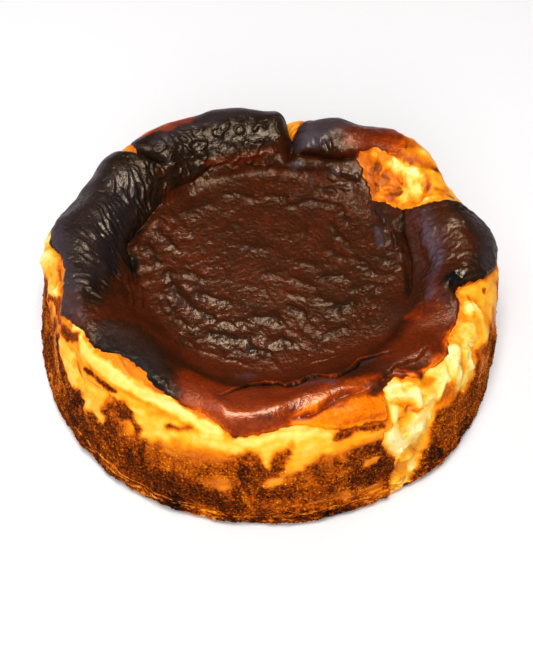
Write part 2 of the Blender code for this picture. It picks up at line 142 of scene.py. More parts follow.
# Folds and hollows of the torn curd in it: line of places, half-width, height
WINDOW_FOLDS = (
    (((303.2, 0.1015), (307, 0.102), (310, 0.104), (312.8, 0.1062), (314.6, 0.1096)), 0.0013, 0.0011),
    (((302.6, 0.105), (305.4, 0.1062), (308.4, 0.1084), (310.4, 0.1111), (311.6, 0.1145), (312, 0.1192)),
     0.0015, 0.0014),
    (((302.6, 0.1085), (304.4, 0.1104), (306.2, 0.1131), (307, 0.1165)), 0.0012, 0.001),
    (((301.8, 0.1177), (301.6, 0.1226), (302.8, 0.1295)), 0.0014, 0.0009),
    (((305.4, 0.119), (306.6, 0.1248), (308.4, 0.1285), (310.2, 0.129), (311.8, 0.1347)), 0.0018, 0.0013),
    (((307.6, 0.1185), (308.6, 0.1165), (309.8, 0.117), (310.2, 0.1195)), 0.0014, -0.0016),
    (((312.4, 0.1231), (313.6, 0.1293), (313, 0.1347)), 0.0014, 0.001),
    (((322.4, 0.1135), (320, 0.1165), (317.8, 0.1199), (316.4, 0.1219)), 0.0016, 0.0013),
    (((326.4, 0.1116), (325, 0.116), (323, 0.1185)), 0.0014, 0.0011),
    (((331.4, 0.1096), (328.8, 0.1126), (326.4, 0.1143)), 0.0013, 0.001),
    (((302.4, 0.145), (305.8, 0.145), (309, 0.1462)), 0.0016, 0.001),
    (((302.2, 0.1617), (305.4, 0.158), (308.6, 0.1561), (310, 0.1534)), 0.0016, 0.0009),
)

# Crust that flaked off the side, or rose in a fold: line of places, half-width, height
SIDE_MARKS = (
    (((212, 0.113), (217, 0.121), (222, 0.128)), 0.0045, -0.0022),
    (((209, 0.1078), (218, 0.1098), (228, 0.1088), (238, 0.1072), (247, 0.1074), (256, 0.1105)),
     0.0032, 0.0018),
    (((222, 0.123), (231, 0.12), (240, 0.122)), 0.004, -0.0014),
    (((262.2, 0.124), (264.6, 0.136), (267.4, 0.152), (269.2, 0.163)), 0.0011, -0.0011),
    (((322, 0.124), (326, 0.14), (328, 0.16)), 0.006, 0.001),
    (((-4, 0.13), (-9, 0.145), (-14, 0.16)), 0.006, 0.0008),
)

# Soft unevenness of each kind of surface: lump size and height
CUSTARD_LUMPS = ((0.0100, 0.0011), (0.0040, 0.0005))
SIDE_LUMPS = ((0.0140, 0.0010), (0.0045, 0.0006))
SKIN_LUMPS = ((0.0300, 0.0030), (0.0120, 0.0010))
SUNKEN_REACH = 0.071    # the sunken top, which is blistered instead, reaches out to here
SUNKEN_FADE = 0.016
SIDE_REACH = 0.120
SIDE_FADE = 0.012
TORN_FADE = 0.008
WINDOW_FADE = 0.0016
NOISE_CELLS = 48
SEED = 17               # each kind of unevenness adds a number of its own to it


def smooth(share):
    share = np.clip(share, 0.0, 1.0)
    return share * share * (3.0 - 2.0 * share)


def turn(degrees):
    """An angle difference between -180 and 180."""
    return (degrees + 180.0) % 360.0 - 180.0


def on_section(reach):
    """The point (radius, height) of the mean half-section at a reach, on a smooth curve."""
    slopes = np.gradient(MEAN_SECTION, SECTION_REACH, axis=0)
    i = np.clip(np.searchsorted(SECTION_REACH, reach) - 1, 0, len(SECTION_REACH) - 2)
    step = (SECTION_REACH[i + 1] - SECTION_REACH[i])[..., None]
    t = (reach[..., None] - SECTION_REACH[i][..., None]) / step
    start = (1 + 2 * t) * (1 - t) ** 2 * MEAN_SECTION[i] + t * (1 - t) ** 2 * step * slopes[i]
    end = t * t * (3 - 2 * t) * MEAN_SECTION[i + 1] + t * t * (t - 1) * step * slopes[i + 1]
    return start + end


def on_cake(azimuth, reach, lift):
    """The point on the cake at this azimuth and reach, lifted square to the mean section."""
    point = on_section(reach)
    along = on_section(reach + 0.0003) - on_section(reach - 0.0003)
    along /= np.linalg.norm(along, axis=-1, keepdims=True)
    radius = point[..., 0] - along[..., 1] * lift
    height = point[..., 1] + along[..., 0] * lift
    angle = np.radians(azimuth)
    return np.stack([radius * np.cos(angle), radius * np.sin(angle), height], -1)


def swells(azimuth, reach, table):
    """The sum of the soft mounds in a table like SWELLS."""
    height = np.zeros(azimuth.shape)
    for middle, at, spread, width, rise in table:
        height += rise * np.exp(-((turn(azimuth - middle) / spread) ** 2) - ((reach - at) / width) ** 2)
    return height


def from_line(azimuth, reach, line):
    """The distance from a line of places, and the share of the line's run there."""
    nearest = np.full(azimuth.shape, 1.0)
    share = np.zeros(azimuth.shape)
    pieces = len(line) - 1
    for k, ((start_azimuth, start), (end_azimuth, end)) in enumerate(zip(line, line[1:])):
        metres_a_degree = np.radians(on_section(np.array((start + end) / 2))[0])
        x = turn(azimuth - start_azimuth) * metres_a_degree
        y = reach - start
        run = turn(end_azimuth - start_azimuth) * metres_a_degree
        rise = end - start
        along = np.clip((x * run + y * rise) / (run * run + rise * rise), 0, 1)
        distance = np.hypot(x - along * run, y - along * rise)
        closer = distance < nearest
        nearest = np.where(closer, distance, nearest)
        share = np.where(closer, (k + along) / pieces, share)
    return nearest, share


def lines(azimuth, reach, table):
    """The sum of the folds and streaks in a table like SIDE_MARKS, each fading out at its ends."""
    height = np.zeros(azimuth.shape)
    for line, width, rise in table:
        distance, share = from_line(azimuth, reach, line)
        fade = smooth(np.minimum(share, 1 - share) * 4 + 0.25)
        height += rise * fade * np.exp(-((distance / width) ** 1.6))
    return height


def clefts(azimuth, reach, table):
    """How deep the sharp valleys with rounded shoulders in a table like CLEFTS are."""
    deepest = np.zeros(azimuth.shape)
    for line, width, depth in table:
        distance, share = from_line(azimuth, reach, line)
        fade = smooth(np.minimum(share, 1 - share) * 4 + 0.3)
        shoulder = 1 - np.clip(distance / (width * (0.4 + 0.6 * fade)), 0, 1)
        deepest = np.maximum(deepest, depth * fade * (1 - np.sqrt(1 - shoulder ** 2)))
    return deepest


def lumps(points, size, seed):
    """Soft random relief from -1 to 1, with lumps about this size across."""
    slopes = np.random.default_rng(seed).normal(size=(NOISE_CELLS,) * 3 + (3,))
    place = points / size + NOISE_CELLS
    low = np.floor(place).astype(int)
    part = place - low
    share = part ** 3 * (part * (part * 6 - 15) + 10)
    total = np.zeros(points.shape[:-1])
    for corner in np.ndindex(2, 2, 2):
        weight = np.prod(np.where(corner, share, 1 - share), axis=-1)
        i, j, k = np.moveaxis((low + corner) % NOISE_CELLS, -1, 0)
        total += weight * ((part - corner) * slopes[i, j, k]).sum(axis=-1)
    return np.clip(total, -1, 1)


def rough(points, table, seed):
    return sum(height * lumps(points, size, seed + k) for k, (size, height) in enumerate(table))


def inside_outline(azimuth, reach, outline):
    """The distance inside a closed outline of places, less than zero outside it."""
    def plane(a, u):
        return u * np.cos(np.radians(a)), u * np.sin(np.radians(a))

    x, y = plane(azimuth, reach)
    corners = np.array([plane(a, u) for a, u in outline])
    nearest = np.full(x.shape, 1.0)
    inside = np.zeros(x.shape, bool)
    for (x0, y0), (x1, y1) in zip(corners, np.roll(corners, -1, axis=0)):
        run, rise = x1 - x0, y1 - y0
        along = np.clip(((x - x0) * run + (y - y0) * rise) / (run * run + rise * rise), 0, 1)
        nearest = np.minimum(nearest, np.hypot(x - x0 - along * run, y - y0 - along * rise))
        crosses = ((y0 > y) != (y1 > y)) & (x < x0 + (y - y0) * run / (rise if rise else 1.0))
        inside ^= crosses
    even = on_cake(azimuth, reach, np.zeros(azimuth.shape))
    return np.where(inside, nearest, -nearest) + rough(even, EDGE_FRAYS, SEED)


def torn_depth(azimuth, reach):
    """The distance inside the torn edge of the dark skin, less than zero where the custard is bare."""
    return inside_outline(azimuth, reach, TORN_EDGE)


def risen(azimuth, reach, depth):
    """The lift of the whole cake's form, which the skin and the custard share."""
    even = on_cake(azimuth, reach, np.zeros(azimuth.shape))
    covered = smooth(0.5 + depth / TORN_FADE)
    sunken = smooth((SUNKEN_REACH - reach) / SUNKEN_FADE)
    side = smooth((reach - SIDE_REACH) / SIDE_FADE)
    height = swells(azimuth, reach, SWELLS) - clefts(azimuth, reach, CLEFTS)
    height += covered * (1 - sunken) * rough(even, SKIN_LUMPS, SEED + 3)
    height += (1 - covered) * (1 - side) * rough(even, CUSTARD_LUMPS, SEED + 5)
    height += (1 - covered) * lines(azimuth, reach, SIDE_MARKS)
    height -= WINDOW_SUNK * smooth(0.5 + inside_outline(azimuth, reach, WINDOW_OUTLINE) / WINDOW_FADE)
    return height + side * rough(even, SIDE_LUMPS, SEED + 7)


# The bare custard. Where the skin tore away, and in a band under its edge, the pale set custard shows:
# smooth and buttery where it was folded, curdled and flaky where it broke, golden brown where it met
# the heat. It runs on under the skin, and down the side it turns into the toasted crust.
BARE_START = 0.0660
BARE_END = 0.1280
ROUND = 1152            # points in a full ring
FRONT_DENSER = 0.30     # how much closer together they stand at the front
SUNK_UNDER_SKIN = 0.0024
FOOT_FADE = 0.006

# How baked the surface is, from 0, pale cream, to 1, black, with a few strokes of painted shade: line of
# places, half-width, softness, level
TOASTING_AND_SHADE = (
    # pale pockets, ridge and bands of the front left
    (((206, 0.118), (208.2, 0.11)), 0.003, 0.005, 0.4),
    (((208, 0.1215), (213, 0.1225), (216.5, 0.1265), (218, 0.131)), 0.0048, 0.004, 0.15),
    (((220, 0.1255), (225, 0.124), (229, 0.1214), (232, 0.118)), 0.0044, 0.004, 0.21),
    (((223.5, 0.1318), (229, 0.132)), 0.0052, 0.004, 0.17),
    (((233.2, 0.1177), (237.4, 0.114), (241.8, 0.1115)), 0.003, 0.005, 0.24),
    (((222, 0.105), (227.8, 0.1015), (232, 0.0998), (236, 0.1005), (240, 0.103)), 0.004, 0.004, 0.38),
    (((242, 0.1245), (245.4, 0.12), (250.6, 0.1187), (256, 0.1165), (260.5, 0.1172)), 0.0046, 0.006, 0.15),
    # a darker line painted as the shadow under the pale ridge
    (((240.8, 0.115), (244.2, 0.112), (249.4, 0.1112), (255, 0.1132)), 0.0018, 0.005, 0.34),
    (((208, 0.107), (212.6, 0.1078), (216.4, 0.11), (221.6, 0.1102), (228.4, 0.1084), (236.2, 0.1066),
     (243.6, 0.1064), (250, 0.1082), (255.8, 0.1106), (260.4, 0.1138)), 0.0036, 0.0026, 0.11),
    # brown and black marks on them
    (((206.5, 0.1155), (209.4, 0.114), (212, 0.1106), (214, 0.1096)), 0.0024, 0.0036, 0.62),
    (((219.5, 0.1172), (223.6, 0.1156), (227.2, 0.115), (231, 0.1143)), 0.0012, 0.0022, 0.7),
    (((217.8, 0.1365), (221.5, 0.1345)), 0.003, 0.0036, 0.8),
    (((218.5, 0.1405), (220.5, 0.143)), 0.0022, 0.0026, 0.86),
    (((230.0, 0.1234), (233.5, 0.1215), (237, 0.121), (239.4, 0.125)), 0.0034, 0.0044, 0.62),
    (((226, 0.138), (229.5, 0.144), (235, 0.148)), 0.003, 0.008, 0.68),
    (((247.4, 0.1158), (250.2, 0.1152), (252.8, 0.113)), 0.0014, 0.0034, 0.56),
    (((206, 0.123), (208.5, 0.129), (212, 0.135), (216, 0.14)), 0.0018, 0.0036, 0.72),
    # lighter and darker toast below them, and a thin painted shadow under the pale ridge
    (((249, 0.1371), (252.6, 0.1325), (257.2, 0.1275)), 0.004, 0.01, 0.47),
    (((236, 0.16), (244.4, 0.1568), (251.8, 0.1529)), 0.004, 0.012, 0.66),
    (((247, 0.1478), (256, 0.15), (262, 0.1556)), 0.0052, 0.009, 0.7),
    (((272, 0.153), (280, 0.1548), (287, 0.1566)), 0.0052, 0.009, 0.5),
    (((246.4, 0.1275), (253.8, 0.1258), (261, 0.125)), 0.0044, 0.007, 0.42),
    # a thin orange-brown line painted as the shadow under the pale ridge
    (((219.2, 0.1137), (226, 0.1133), (234.4, 0.1115), (242.2, 0.1105), (248.8, 0.1108)),
     0.0007, 0.0018, 0.34),
    (((220, 0.145), (225, 0.152), (231, 0.156)), 0.004, 0.01, 0.66),
    (((262.4, 0.1255), (264.6, 0.1366), (267.4, 0.1524), (269.2, 0.1622)), 0.0008, 0.001, 0.45),
    (((214, 0.16), (226, 0.1588), (238, 0.1596), (250, 0.1592), (262, 0.1612)), 0.0005, 0.0014, 0.34),
    (((226, 0.1625), (240, 0.1632), (256, 0.1622), (272, 0.1634)), 0.0005, 0.0012, 0.38),
    (((274, 0.156), (282, 0.154), (290, 0.1562), (298, 0.1548)), 0.0005, 0.0014, 0.36),
    (((276, 0.1618), (288, 0.1604), (300, 0.1622)), 0.0005, 0.0012, 0.4),
    # yellow band and drips of the front right
    (((263.2, 0.1165), (266, 0.1157), (270, 0.1142), (274, 0.1122), (278, 0.1104), (283, 0.11)),
     0.0046, 0.0044, 0.14),
    (((270.2, 0.1162), (270.8, 0.1202), (271.2, 0.1253)), 0.0028, 0.0044, 0.17),
    (((284.6, 0.1103), (285.4, 0.114), (281.8, 0.1185), (278.8, 0.1239), (276.8, 0.1283)),
     0.0027, 0.0044, 0.18),
    (((276.8, 0.1283), (275.2, 0.1342), (271.2, 0.1408)), 0.0022, 0.0044, 0.27),
    (((273.4, 0.1244), (276.6, 0.118)), 0.0026, 0.005, 0.58),
    (((267.4, 0.1205), (269.4, 0.1246)), 0.0018, 0.0044, 0.57),
    # brown streak below the orange tongue of the fold
    (((288, 0.1199), (292.8, 0.1188), (296.4, 0.1192), (300.6, 0.1205)), 0.003, 0.005, 0.28),
    (((287.6, 0.1152), (291.4, 0.1142), (295.8, 0.1146), (300.4, 0.1166)), 0.0012, 0.003, 0.6),
    (((291, 0.1099), (295.8, 0.1106), (300, 0.1118)), 0.0006, 0.0014, 0.55),
    (((290.5, 0.131), (294, 0.1262)), 0.005, 0.009, 0.63),
    (((294.8, 0.1366), (298, 0.1342)), 0.0024, 0.0036, 0.33),
    (((288.6, 0.1356), (289.2, 0.1358)), 0.0012, 0.003, 0.4),
    # big torn window on the front right
    (((306.5, 0.14), (306.2, 0.147), (304.8, 0.1561), (303, 0.169)), 0.0056, 0.003, 0.28),
    (((303.6, 0.144), (302.6, 0.152), (302, 0.16)), 0.0016, 0.0034, 0.44),
    (((310.5, 0.0985), (313.5, 0.1045), (316, 0.1095)), 0.003, 0.005, 0.33),
    (((314.8, 0.1101), (319.6, 0.1126)), 0.0014, 0.0026, 0.35),
    (((323, 0.1195), (321, 0.124), (317.6, 0.1245)), 0.0034, 0.005, 0.43),
    (((325, 0.118), (329, 0.119), (332, 0.116)), 0.004, 0.005, 0.17),
    # the small hole in the window, painted darker as shade
    (((309.4, 0.1189), (310.6, 0.1196)), 0.0012, 0.0014, 0.44),
    # right side above its crust
    (((333, 0.108), (338, 0.1052), (343, 0.1055), (348, 0.1065)), 0.0052, 0.005, 0.2),
    (((344.5, 0.1003), (338, 0.1024), (333, 0.1036)), 0.002, 0.005, 0.37),
    (((347.8, 0.112), (340.0, 0.109), (336.6, 0.1155)), 0.002, 0.005, 0.24),
    (((346, 0.103), (350, 0.11), (352, 0.12), (352, 0.13)), 0.005, 0.006, 0.22),
    (((350.4, 0.11), (351.2, 0.1112)), 0.001, 0.0014, 0.52),
    (((346.6, 0.1022), (344.0, 0.105), (341.0, 0.1085)), 0.0007, 0.0016, 0.42),
    (((323.5, 0.1316), (318.5, 0.1345), (317.8, 0.144), (319.5, 0.157)), 0.0064, 0.003, 0.55),
    (((316, 0.1549), (316.4, 0.1592)), 0.0018, 0.0014, 0.9),
    # bare hollow behind the right lobe, and the custard shoulder outside it
    (((30, 0.091), (38, 0.088), (46, 0.089), (52, 0.094)), 0.015, 0.006, 0.3),
    (((29, 0.096), (36, 0.095), (43, 0.095), (50, 0.0975)), 0.0065, 0.007, 0.22),
    (((33, 0.086), (39, 0.083), (45, 0.083), (51, 0.088), (55, 0.093)), 0.0062, 0.005, 0.46),
    (((58, 0.0905), (54, 0.0935), (50, 0.0955), (46.5, 0.099), (44, 0.103)), 0.003, 0.005, 0.47),
    (((30, 0.083), (36, 0.087), (31, 0.09)), 0.0036, 0.005, 0.15),
    (((59.4, 0.0895), (54.0, 0.0877), (52.0, 0.0809), (46.8, 0.0752), (42.0, 0.075)), 0.0026, 0.004, 0.42),
    (((51.2, 0.0902), (50.2, 0.0875), (48.6, 0.0862)), 0.0026, 0.0014, 0.6),
    (((47.0, 0.0852), (44.0, 0.0838), (40.5, 0.0843), (38.6, 0.0845)), 0.0032, 0.0016, 0.58),
    (((48.4, 0.101), (42.0, 0.1027), (37.8, 0.1086), (36.6, 0.1113)), 0.0014, 0.0034, 0.5),
    (((30.0, 0.1008), (28.2, 0.1044), (27.6, 0.1089)), 0.001, 0.002, 0.5),
    (((44.4, 0.0929), (42.2, 0.097), (38.0, 0.0978)), 0.0026, 0.0016, 0.07),
    (((45.0, 0.0905), (41.5, 0.0885), (38.5, 0.0905)), 0.0016, 0.0016, 0.38),
    (((31.0, 0.0985), (34.5, 0.101), (38.0, 0.1005)), 0.0014, 0.002, 0.4),
    (((40.0, 0.0925), (43.0, 0.0955), (46.0, 0.0965)), 0.0016, 0.002, 0.08),
    (((31.5, 0.0935), (35.0, 0.095)), 0.002, 0.002, 0.08),
    (((47, 0.104), (42, 0.1045), (38, 0.11), (34, 0.111)), 0.0024, 0.006, 0.4),
    (((36.8, 0.1094), (36.0, 0.111)), 0.0012, 0.0024, 0.66),
    (((25.8, 0.105), (24.6, 0.106)), 0.0016, 0.003, 0.74),
    (((26.5, 0.1), (29, 0.109)), 0.002, 0.005, 0.48),
    (((62, 0.116), (54, 0.112), (47, 0.108)), 0.004, 0.008, 0.46),
    # left, under the overhanging skin
    (((174, 0.119), (182, 0.116), (190, 0.1145), (197, 0.1165)), 0.0068, 0.005, 0.15),
    (((187, 0.108), (191, 0.1075)), 0.0018, 0.003, 0.44),
    (((193.6, 0.12), (198, 0.114), (203.8, 0.1148)), 0.0022, 0.0026, 0.56),
)

# Torn, curdled places: line of places, half-width, softness, share
CURDLED = (
    (((306, 0.14), (305.4, 0.164)), 0.006, 0.004, 0.6),
    (((344, 0.106), (336, 0.116), (326, 0.123)), 0.009, 0.006, 0.8),
    (((30, 0.092), (40, 0.088), (50, 0.094)), 0.013, 0.006, 1.2),
    (((34, 0.108), (46, 0.11), (58, 0.112)), 0.006, 0.006, 0.5),
    (((218, 0.123), (224, 0.132), (230, 0.131)), 0.006, 0.005, 0.35),
    (((172, 0.12), (182, 0.115), (194, 0.112)), 0.008, 0.004, 0.8),
    (((246, 0.12), (258, 0.118)), 0.005, 0.004, 0.3),
)
CURD_FOLD = 0.0090
CURD_STEPS = 2.6
CURD_HEIGHT = 0.0023
# the curd's raised flakes are painted paler than the hollows between them, as light and shade
CURD_PAINTED_LIGHT = 0.26     # how much paler its flakes are than the hollows between them

# How baked the custard and the crust are before those strokes, where the crust begins, and the lumps
# that fray the strokes and blotch the crust
BAND_LEVEL = 0.24
CRUST_LEVEL = 0.29
UNDER_SKIN_LEVEL = 0.16
NEAR_FOOT_LEVEL = 0.10
WINDOW_LEVEL = 0.22
WINDOW_MIDDLE_PALER = 0.10
FOOT_LAYERS_PALER = 0.26
CRUST_REACH = 0.1240
CRUST_FADE = 0.011
STROKE_FRAYS = ((0.0075, 0.0024), (0.0026, 0.0011), (0.0012, 0.0005))
BLOTCH_SIZE = 0.020
STREAK_SIZE = 0.0060

# Relief of the custard and the crust
GRAIN_HEIGHT = 0.00055
FLOW_HEIGHT = 0.00040
FOOT_LAYER_HEIGHT = 0.0008
FOOT_LAYER_SIZE = 0.0036
FOOT_LAYER_REACH = 0.152

# Finish of the baked surface by how baked it is
BAKED_COLOURS = (
    (0.00, "#F6E0A0"), (0.10, "#F4CE70"), (0.20, "#F0B032"), (0.32, "#E48C10"), (0.43, "#C8680C"),
    (0.55, "#98480A"), (0.69, "#642C0A"), (0.84, "#3C1E0E"), (1.00, "#1C120D"),
)


def linear(code):
    """The linear colour of an sRGB hex code."""
    share = np.array([int(code[k:k + 2], 16) / 255 for k in (1, 3, 5)])
    return (*np.where(share > 0.04045, ((share + 0.055) / 1.055) ** 2.4, share / 12.92), 1.0)


def stroked(value, azimuth, reach, table, fray):
    """A painted value: each stroke of a table is laid over the last, tapered, with soft frayed edges."""
    value = value.copy()
    for line, width, softness, level in table:
        bends, ats = np.array(line).T
        spare = width + softness + 0.004
        middle = bends[0] + turn(bends - bends[0]).mean()
        reaches = np.abs(turn(bends - middle)).max() + np.degrees(spare / 0.06)
        near = np.abs(turn(azimuth - middle)) < reaches
        near &= (reach > ats.min() - spare) & (reach < ats.max() + spare)
        distance, share = from_line(azimuth[near], reach[near], line)
        taper = 0.55 + 0.9 * np.sqrt(np.clip(share * (1 - share), 0, 1))
        edge = width * taper - distance + fray[near] * min(1.0, 0.3 + width / 0.003)
        value[near] += (level - value[near]) * smooth(0.5 + edge / softness)
    return value


def toasting_and_shade(azimuth, reach, depth):
    """How baked the custard and the crust are at a place, from 0 to 1, with painted light and shade on the
    window's folds and painted shadow under the pale ridge.
    """
    even = on_cake(azimuth, reach, np.zeros(azimuth.shape))
    height = on_section(reach)[..., 1]
    fray = rough(even, STROKE_FRAYS, SEED + 11)
    blotches = lumps(even, BLOTCH_SIZE, SEED + 14)
    streaks = lumps(even * (1.0, 1.0, 0.3), STREAK_SIZE, SEED + 15)
    # from a yellow band under the skin down to the toasted side, through orange
    crust = smooth(0.5 + (reach - CRUST_REACH + 0.0050 * blotches + 0.0040 * streaks + fray) / CRUST_FADE)
    value = BAND_LEVEL + 0.11 * blotches + 0.07 * lumps(even, 0.0060, SEED + 12)
    value += (CRUST_LEVEL + 0.13 * blotches + 0.11 * streaks) * crust
    value += UNDER_SKIN_LEVEL * smooth(1 + depth / 0.0045) * (1 - crust)
    value += NEAR_FOOT_LEVEL * crust * smooth((0.036 - height) / 0.02)
    # pale in the window, and painted palest on its folds' crests and darker in their hollow, as light and
    # shade
    inside = inside_outline(azimuth, reach, WINDOW_OUTLINE)
    window = smooth(0.5 + inside / 0.0018)
    pale = WINDOW_LEVEL - WINDOW_MIDDLE_PALER * smooth(inside / 0.0050)
    pale += 0.08 * lumps(even, 0.0090, SEED + 13)
    value += window * (pale - value)
    value -= window * 90 * lines(azimuth, reach, WINDOW_FOLDS)
    value = stroked(value, azimuth, reach, TOASTING_AND_SHADE, fray)
    # flaky layers along the foot, paler than the crust
    foot = smooth((0.0150 - height) / 0.008) * crust
    flakes = smooth(2.8 * lumps(even * (1.1, 1.1, 4.5), 0.0035, SEED + 16) - 0.2)
    return value + 0.06 * foot - FOOT_LAYERS_PALER * foot * flakes


def drawn_out(azimuth, reach, across, along, seed):
    """Random relief whose lumps are this long round the cake and this long down it."""
    angle, radius = np.radians(azimuth), RIM_RADIUS / across
    return lumps(np.stack([radius * np.cos(angle), radius * np.sin(angle), reach / along], -1), 1.0, seed)


def torn_share(azimuth, reach):
    """How torn and curdled the custard is at a place, from 0 to about 1."""
    window = smooth(inside_outline(azimuth, reach, WINDOW_OUTLINE) / 0.0030)
    return stroked(0.75 * window, azimuth, reach, CURDLED, np.zeros(azimuth.shape))


def toasted_grain(azimuth, reach):
    """The fine grain of the toasted crust, from -1 to 1."""
    even = on_cake(azimuth, reach, np.zeros(azimuth.shape))
    return 0.7 * lumps(even, 0.0014, SEED + 21) + 0.5 * lumps(even, 0.0030, SEED + 23)


def curd(azimuth, reach):
    """The flaky terraces of torn curd, from about -1 to 1, with a finer crumble over them."""
    even = on_cake(azimuth, reach, np.zeros(azimuth.shape))
    bent = even + 0.0030 * np.stack([lumps(even, 0.009, SEED + 31 + k) for k in range(3)], -1)
    height = lumps(bent * (1.0, 1.0, 0.5), CURD_FOLD, SEED + 35) + 0.22 * lumps(bent, 0.0040, SEED + 36)
    height *= CURD_STEPS
    step = np.floor(height)
    return (step + smooth((height - step - 0.35) / 0.16)) / CURD_STEPS + 0.10 * lumps(even, 0.0017, SEED + 37)


def flow(azimuth, reach):
    """Soft streaks that run round in the stretched custard, from -1 to 1."""
    even = on_cake(azimuth, reach, np.zeros(azimuth.shape))
    return drawn_out(azimuth, reach + 0.005 * lumps(even, 0.016, SEED + 43), 0.0200, 0.0030, SEED + 42)


def custard_lift(azimuth, reach):
    """How far the custard and the crust stand above the mean section."""
    depth = torn_depth(azimuth, reach)
    even = on_cake(azimuth, reach, np.zeros(azimuth.shape))
    baked = toasting_and_shade(azimuth, reach, depth)
    height = risen(azimuth, reach, depth)
    height += CURD_HEIGHT * torn_share(azimuth, reach) * curd(azimuth, reach)
    height += lines(azimuth, reach, WINDOW_FOLDS)
    toasted = smooth((baked - 0.42) / 0.2) * smooth((reach - 0.105) / 0.01)
    height += GRAIN_HEIGHT * toasted * toasted_grain(azimuth, reach)
    height += FLOW_HEIGHT * (1 - toasted) * flow(azimuth, reach)
    layers = 1 - 2 * np.abs(lumps(even * (0.25, 0.25, 1.0), FOOT_LAYER_SIZE, SEED + 41))
    height += FOOT_LAYER_HEIGHT * layers * smooth((reach - FOOT_LAYER_REACH) / 0.008)
    # the custard dips a little under the skin's edge
    height -= SUNK_UNDER_SKIN * smooth((depth - 0.0006) / 0.003)
    height -= 0.0005 * np.exp(-((depth + 0.0007) / 0.0006) ** 2)
    return height * smooth((WHOLE_REACH - reach) / FOOT_FADE)


def ring_azimuths(count):
    """Places round the cake, closer together at the front."""
    even = 90 + np.arange(count) * 360.0 / count
    return even - FRONT_DENSER * np.degrees(np.sin(np.radians(even - 270)))


def between(start, count, next_start, next_count):
    """The faces between two rings of points, with equal counts or one twice the other, or a pole."""
    few = min(count, next_count)
    k = np.arange(max(few, 1) if few > 1 else max(count, next_count))
    if count == 1:
        return np.stack([0 * k + start, next_start + k, next_start + (k + 1) % next_count], -1)
    if next_count == 1:
        return np.stack([start + k, 0 * k + next_start, start + (k + 1) % count], -1)
    here, there = start + k, next_start + k
    here_on, there_on = start + (k + 1) % few, next_start + (k + 1) % few
    if count == next_count:
        return np.concatenate([np.stack([here, there, there_on], -1),
                               np.stack([here, there_on, here_on], -1)])
    if next_count == 2 * count:
        there, middle, there_on = (next_start + (2 * k + step) % next_count for step in range(3))
        return np.concatenate([np.stack([here, there, middle], -1), np.stack([here, middle, here_on], -1),
                               np.stack([here_on, middle, there_on], -1)])
    here, middle, here_on = (start + (2 * k + step) % count for step in range(3))
    return np.concatenate([np.stack([here, there, middle], -1), np.stack([middle, there, there_on], -1),
                           np.stack([middle, there_on, here_on], -1)])


def layer(name, rows, lift, closes_round, paints):
    """A closed piece from rings of points, with its painted attributes. A ring is (count, reach, place):
    it lies on the cake's surface at that reach, or inside the cake where its radius and height are given."""
    counts = [count for count, _, _ in rows]
    azimuth = np.concatenate([ring_azimuths(count) if count > 1 else [0.0] for count in counts])
    reach = np.concatenate([np.full(count, at) for count, at, _ in rows])
    ring = np.repeat(np.arange(len(rows)), counts)
    points = on_cake(azimuth, reach, lift(azimuth, reach))
    for k, (_, _, place) in enumerate(rows):
        if place:
            angle = np.radians(azimuth[ring == k])
            points[ring == k] = np.stack([place[0] * np.cos(angle), place[0] * np.sin(angle),
                                          np.full(angle.shape, place[1])], -1)
    starts = np.cumsum([0] + counts)
    pairs = [(k, k + 1) for k in range(len(rows) - 1)] + ([(len(rows) - 1, 0)] if closes_round else [])
    faces = np.concatenate([between(starts[a], counts[a], starts[b], counts[b]) for a, b in pairs])
    mesh = bpy.data.meshes.new(name)
    mesh.from_pydata(points.tolist(), [], faces.tolist())
    mesh.shade_smooth()
    inner = np.array([place is not None for _, _, place in rows])
    seams = np.flatnonzero(~inner & (np.roll(inner, 1) | np.roll(inner, -1)))
    ends = np.empty(len(mesh.edges) * 2, np.int32)
    mesh.edges.foreach_get("vertices", ends)
    ends = ring[ends.reshape(-1, 2)]
    sharp = (ends[:, 0] == ends[:, 1]) & np.isin(ends[:, 0], seams)
    mesh.attributes.new("sharp_edge", "BOOLEAN", "EDGE").data.foreach_set("value", sharp)
    for paint, value in paints(azimuth, reach).items():
        mesh.attributes.new(paint, "FLOAT", "POINT").data.foreach_set("value", value.astype(np.float32))
    piece = bpy.data.objects.new(name, mesh)
    bpy.context.scene.collection.objects.link(piece)
    return piece


def surface_rings(count, start, end, step):
    """Full rings from one reach to another, evenly spaced."""
    return [(count, reach, None) for reach in np.linspace(start, end, round((end - start) / step) + 1)]


def custard_paints(azimuth, reach):
    """What is painted on the custard and the crust: how baked, with painted light and shade on the grain and
    the curd, how toasted, and where crumbs lie.
    """
    depth = torn_depth(azimuth, reach)
    baked = toasting_and_shade(azimuth, reach, depth)
    torn = torn_share(azimuth, reach)
    toasted = smooth((baked - 0.36) / 0.2) * smooth((reach - 0.105) / 0.01)
    grain = toasted_grain(azimuth, reach)
    even = on_cake(azimuth, reach, np.zeros(azimuth.shape))
    # painted light and shade: the crust's raised grains are paler on top and darker in their pits, and the
    # curd's flakes paler than its hollows
    baked = baked - 0.13 * toasted * grain - CURD_PAINTED_LIGHT * torn * (curd(azimuth, reach) - 0.05)
    streaked = 0.06 * flow(azimuth, reach) + 0.025 * lumps(even, 0.0030, SEED + 44)
    baked -= (1 - toasted) * (1 - torn) * streaked
    clear_of_the_foot = smooth((WHOLE_REACH - 0.0020 - reach) / 0.002)
    return {"baked": np.clip(baked, 0, 1), "toasted": toasted, "crumbly": toasted * clear_of_the_foot}


def node(tree, kind, **inputs):
    """A node with its inputs set: a number or colour, or the socket that feeds it."""
    made = tree.nodes.new(kind)
    for name, value in inputs.items():
        key = name.replace("_", " ")
        if isinstance(value, bpy.types.NodeSocket):
            tree.links.new(value, made.inputs[key])
        else:
            made.inputs[key].default_value = value
    return made


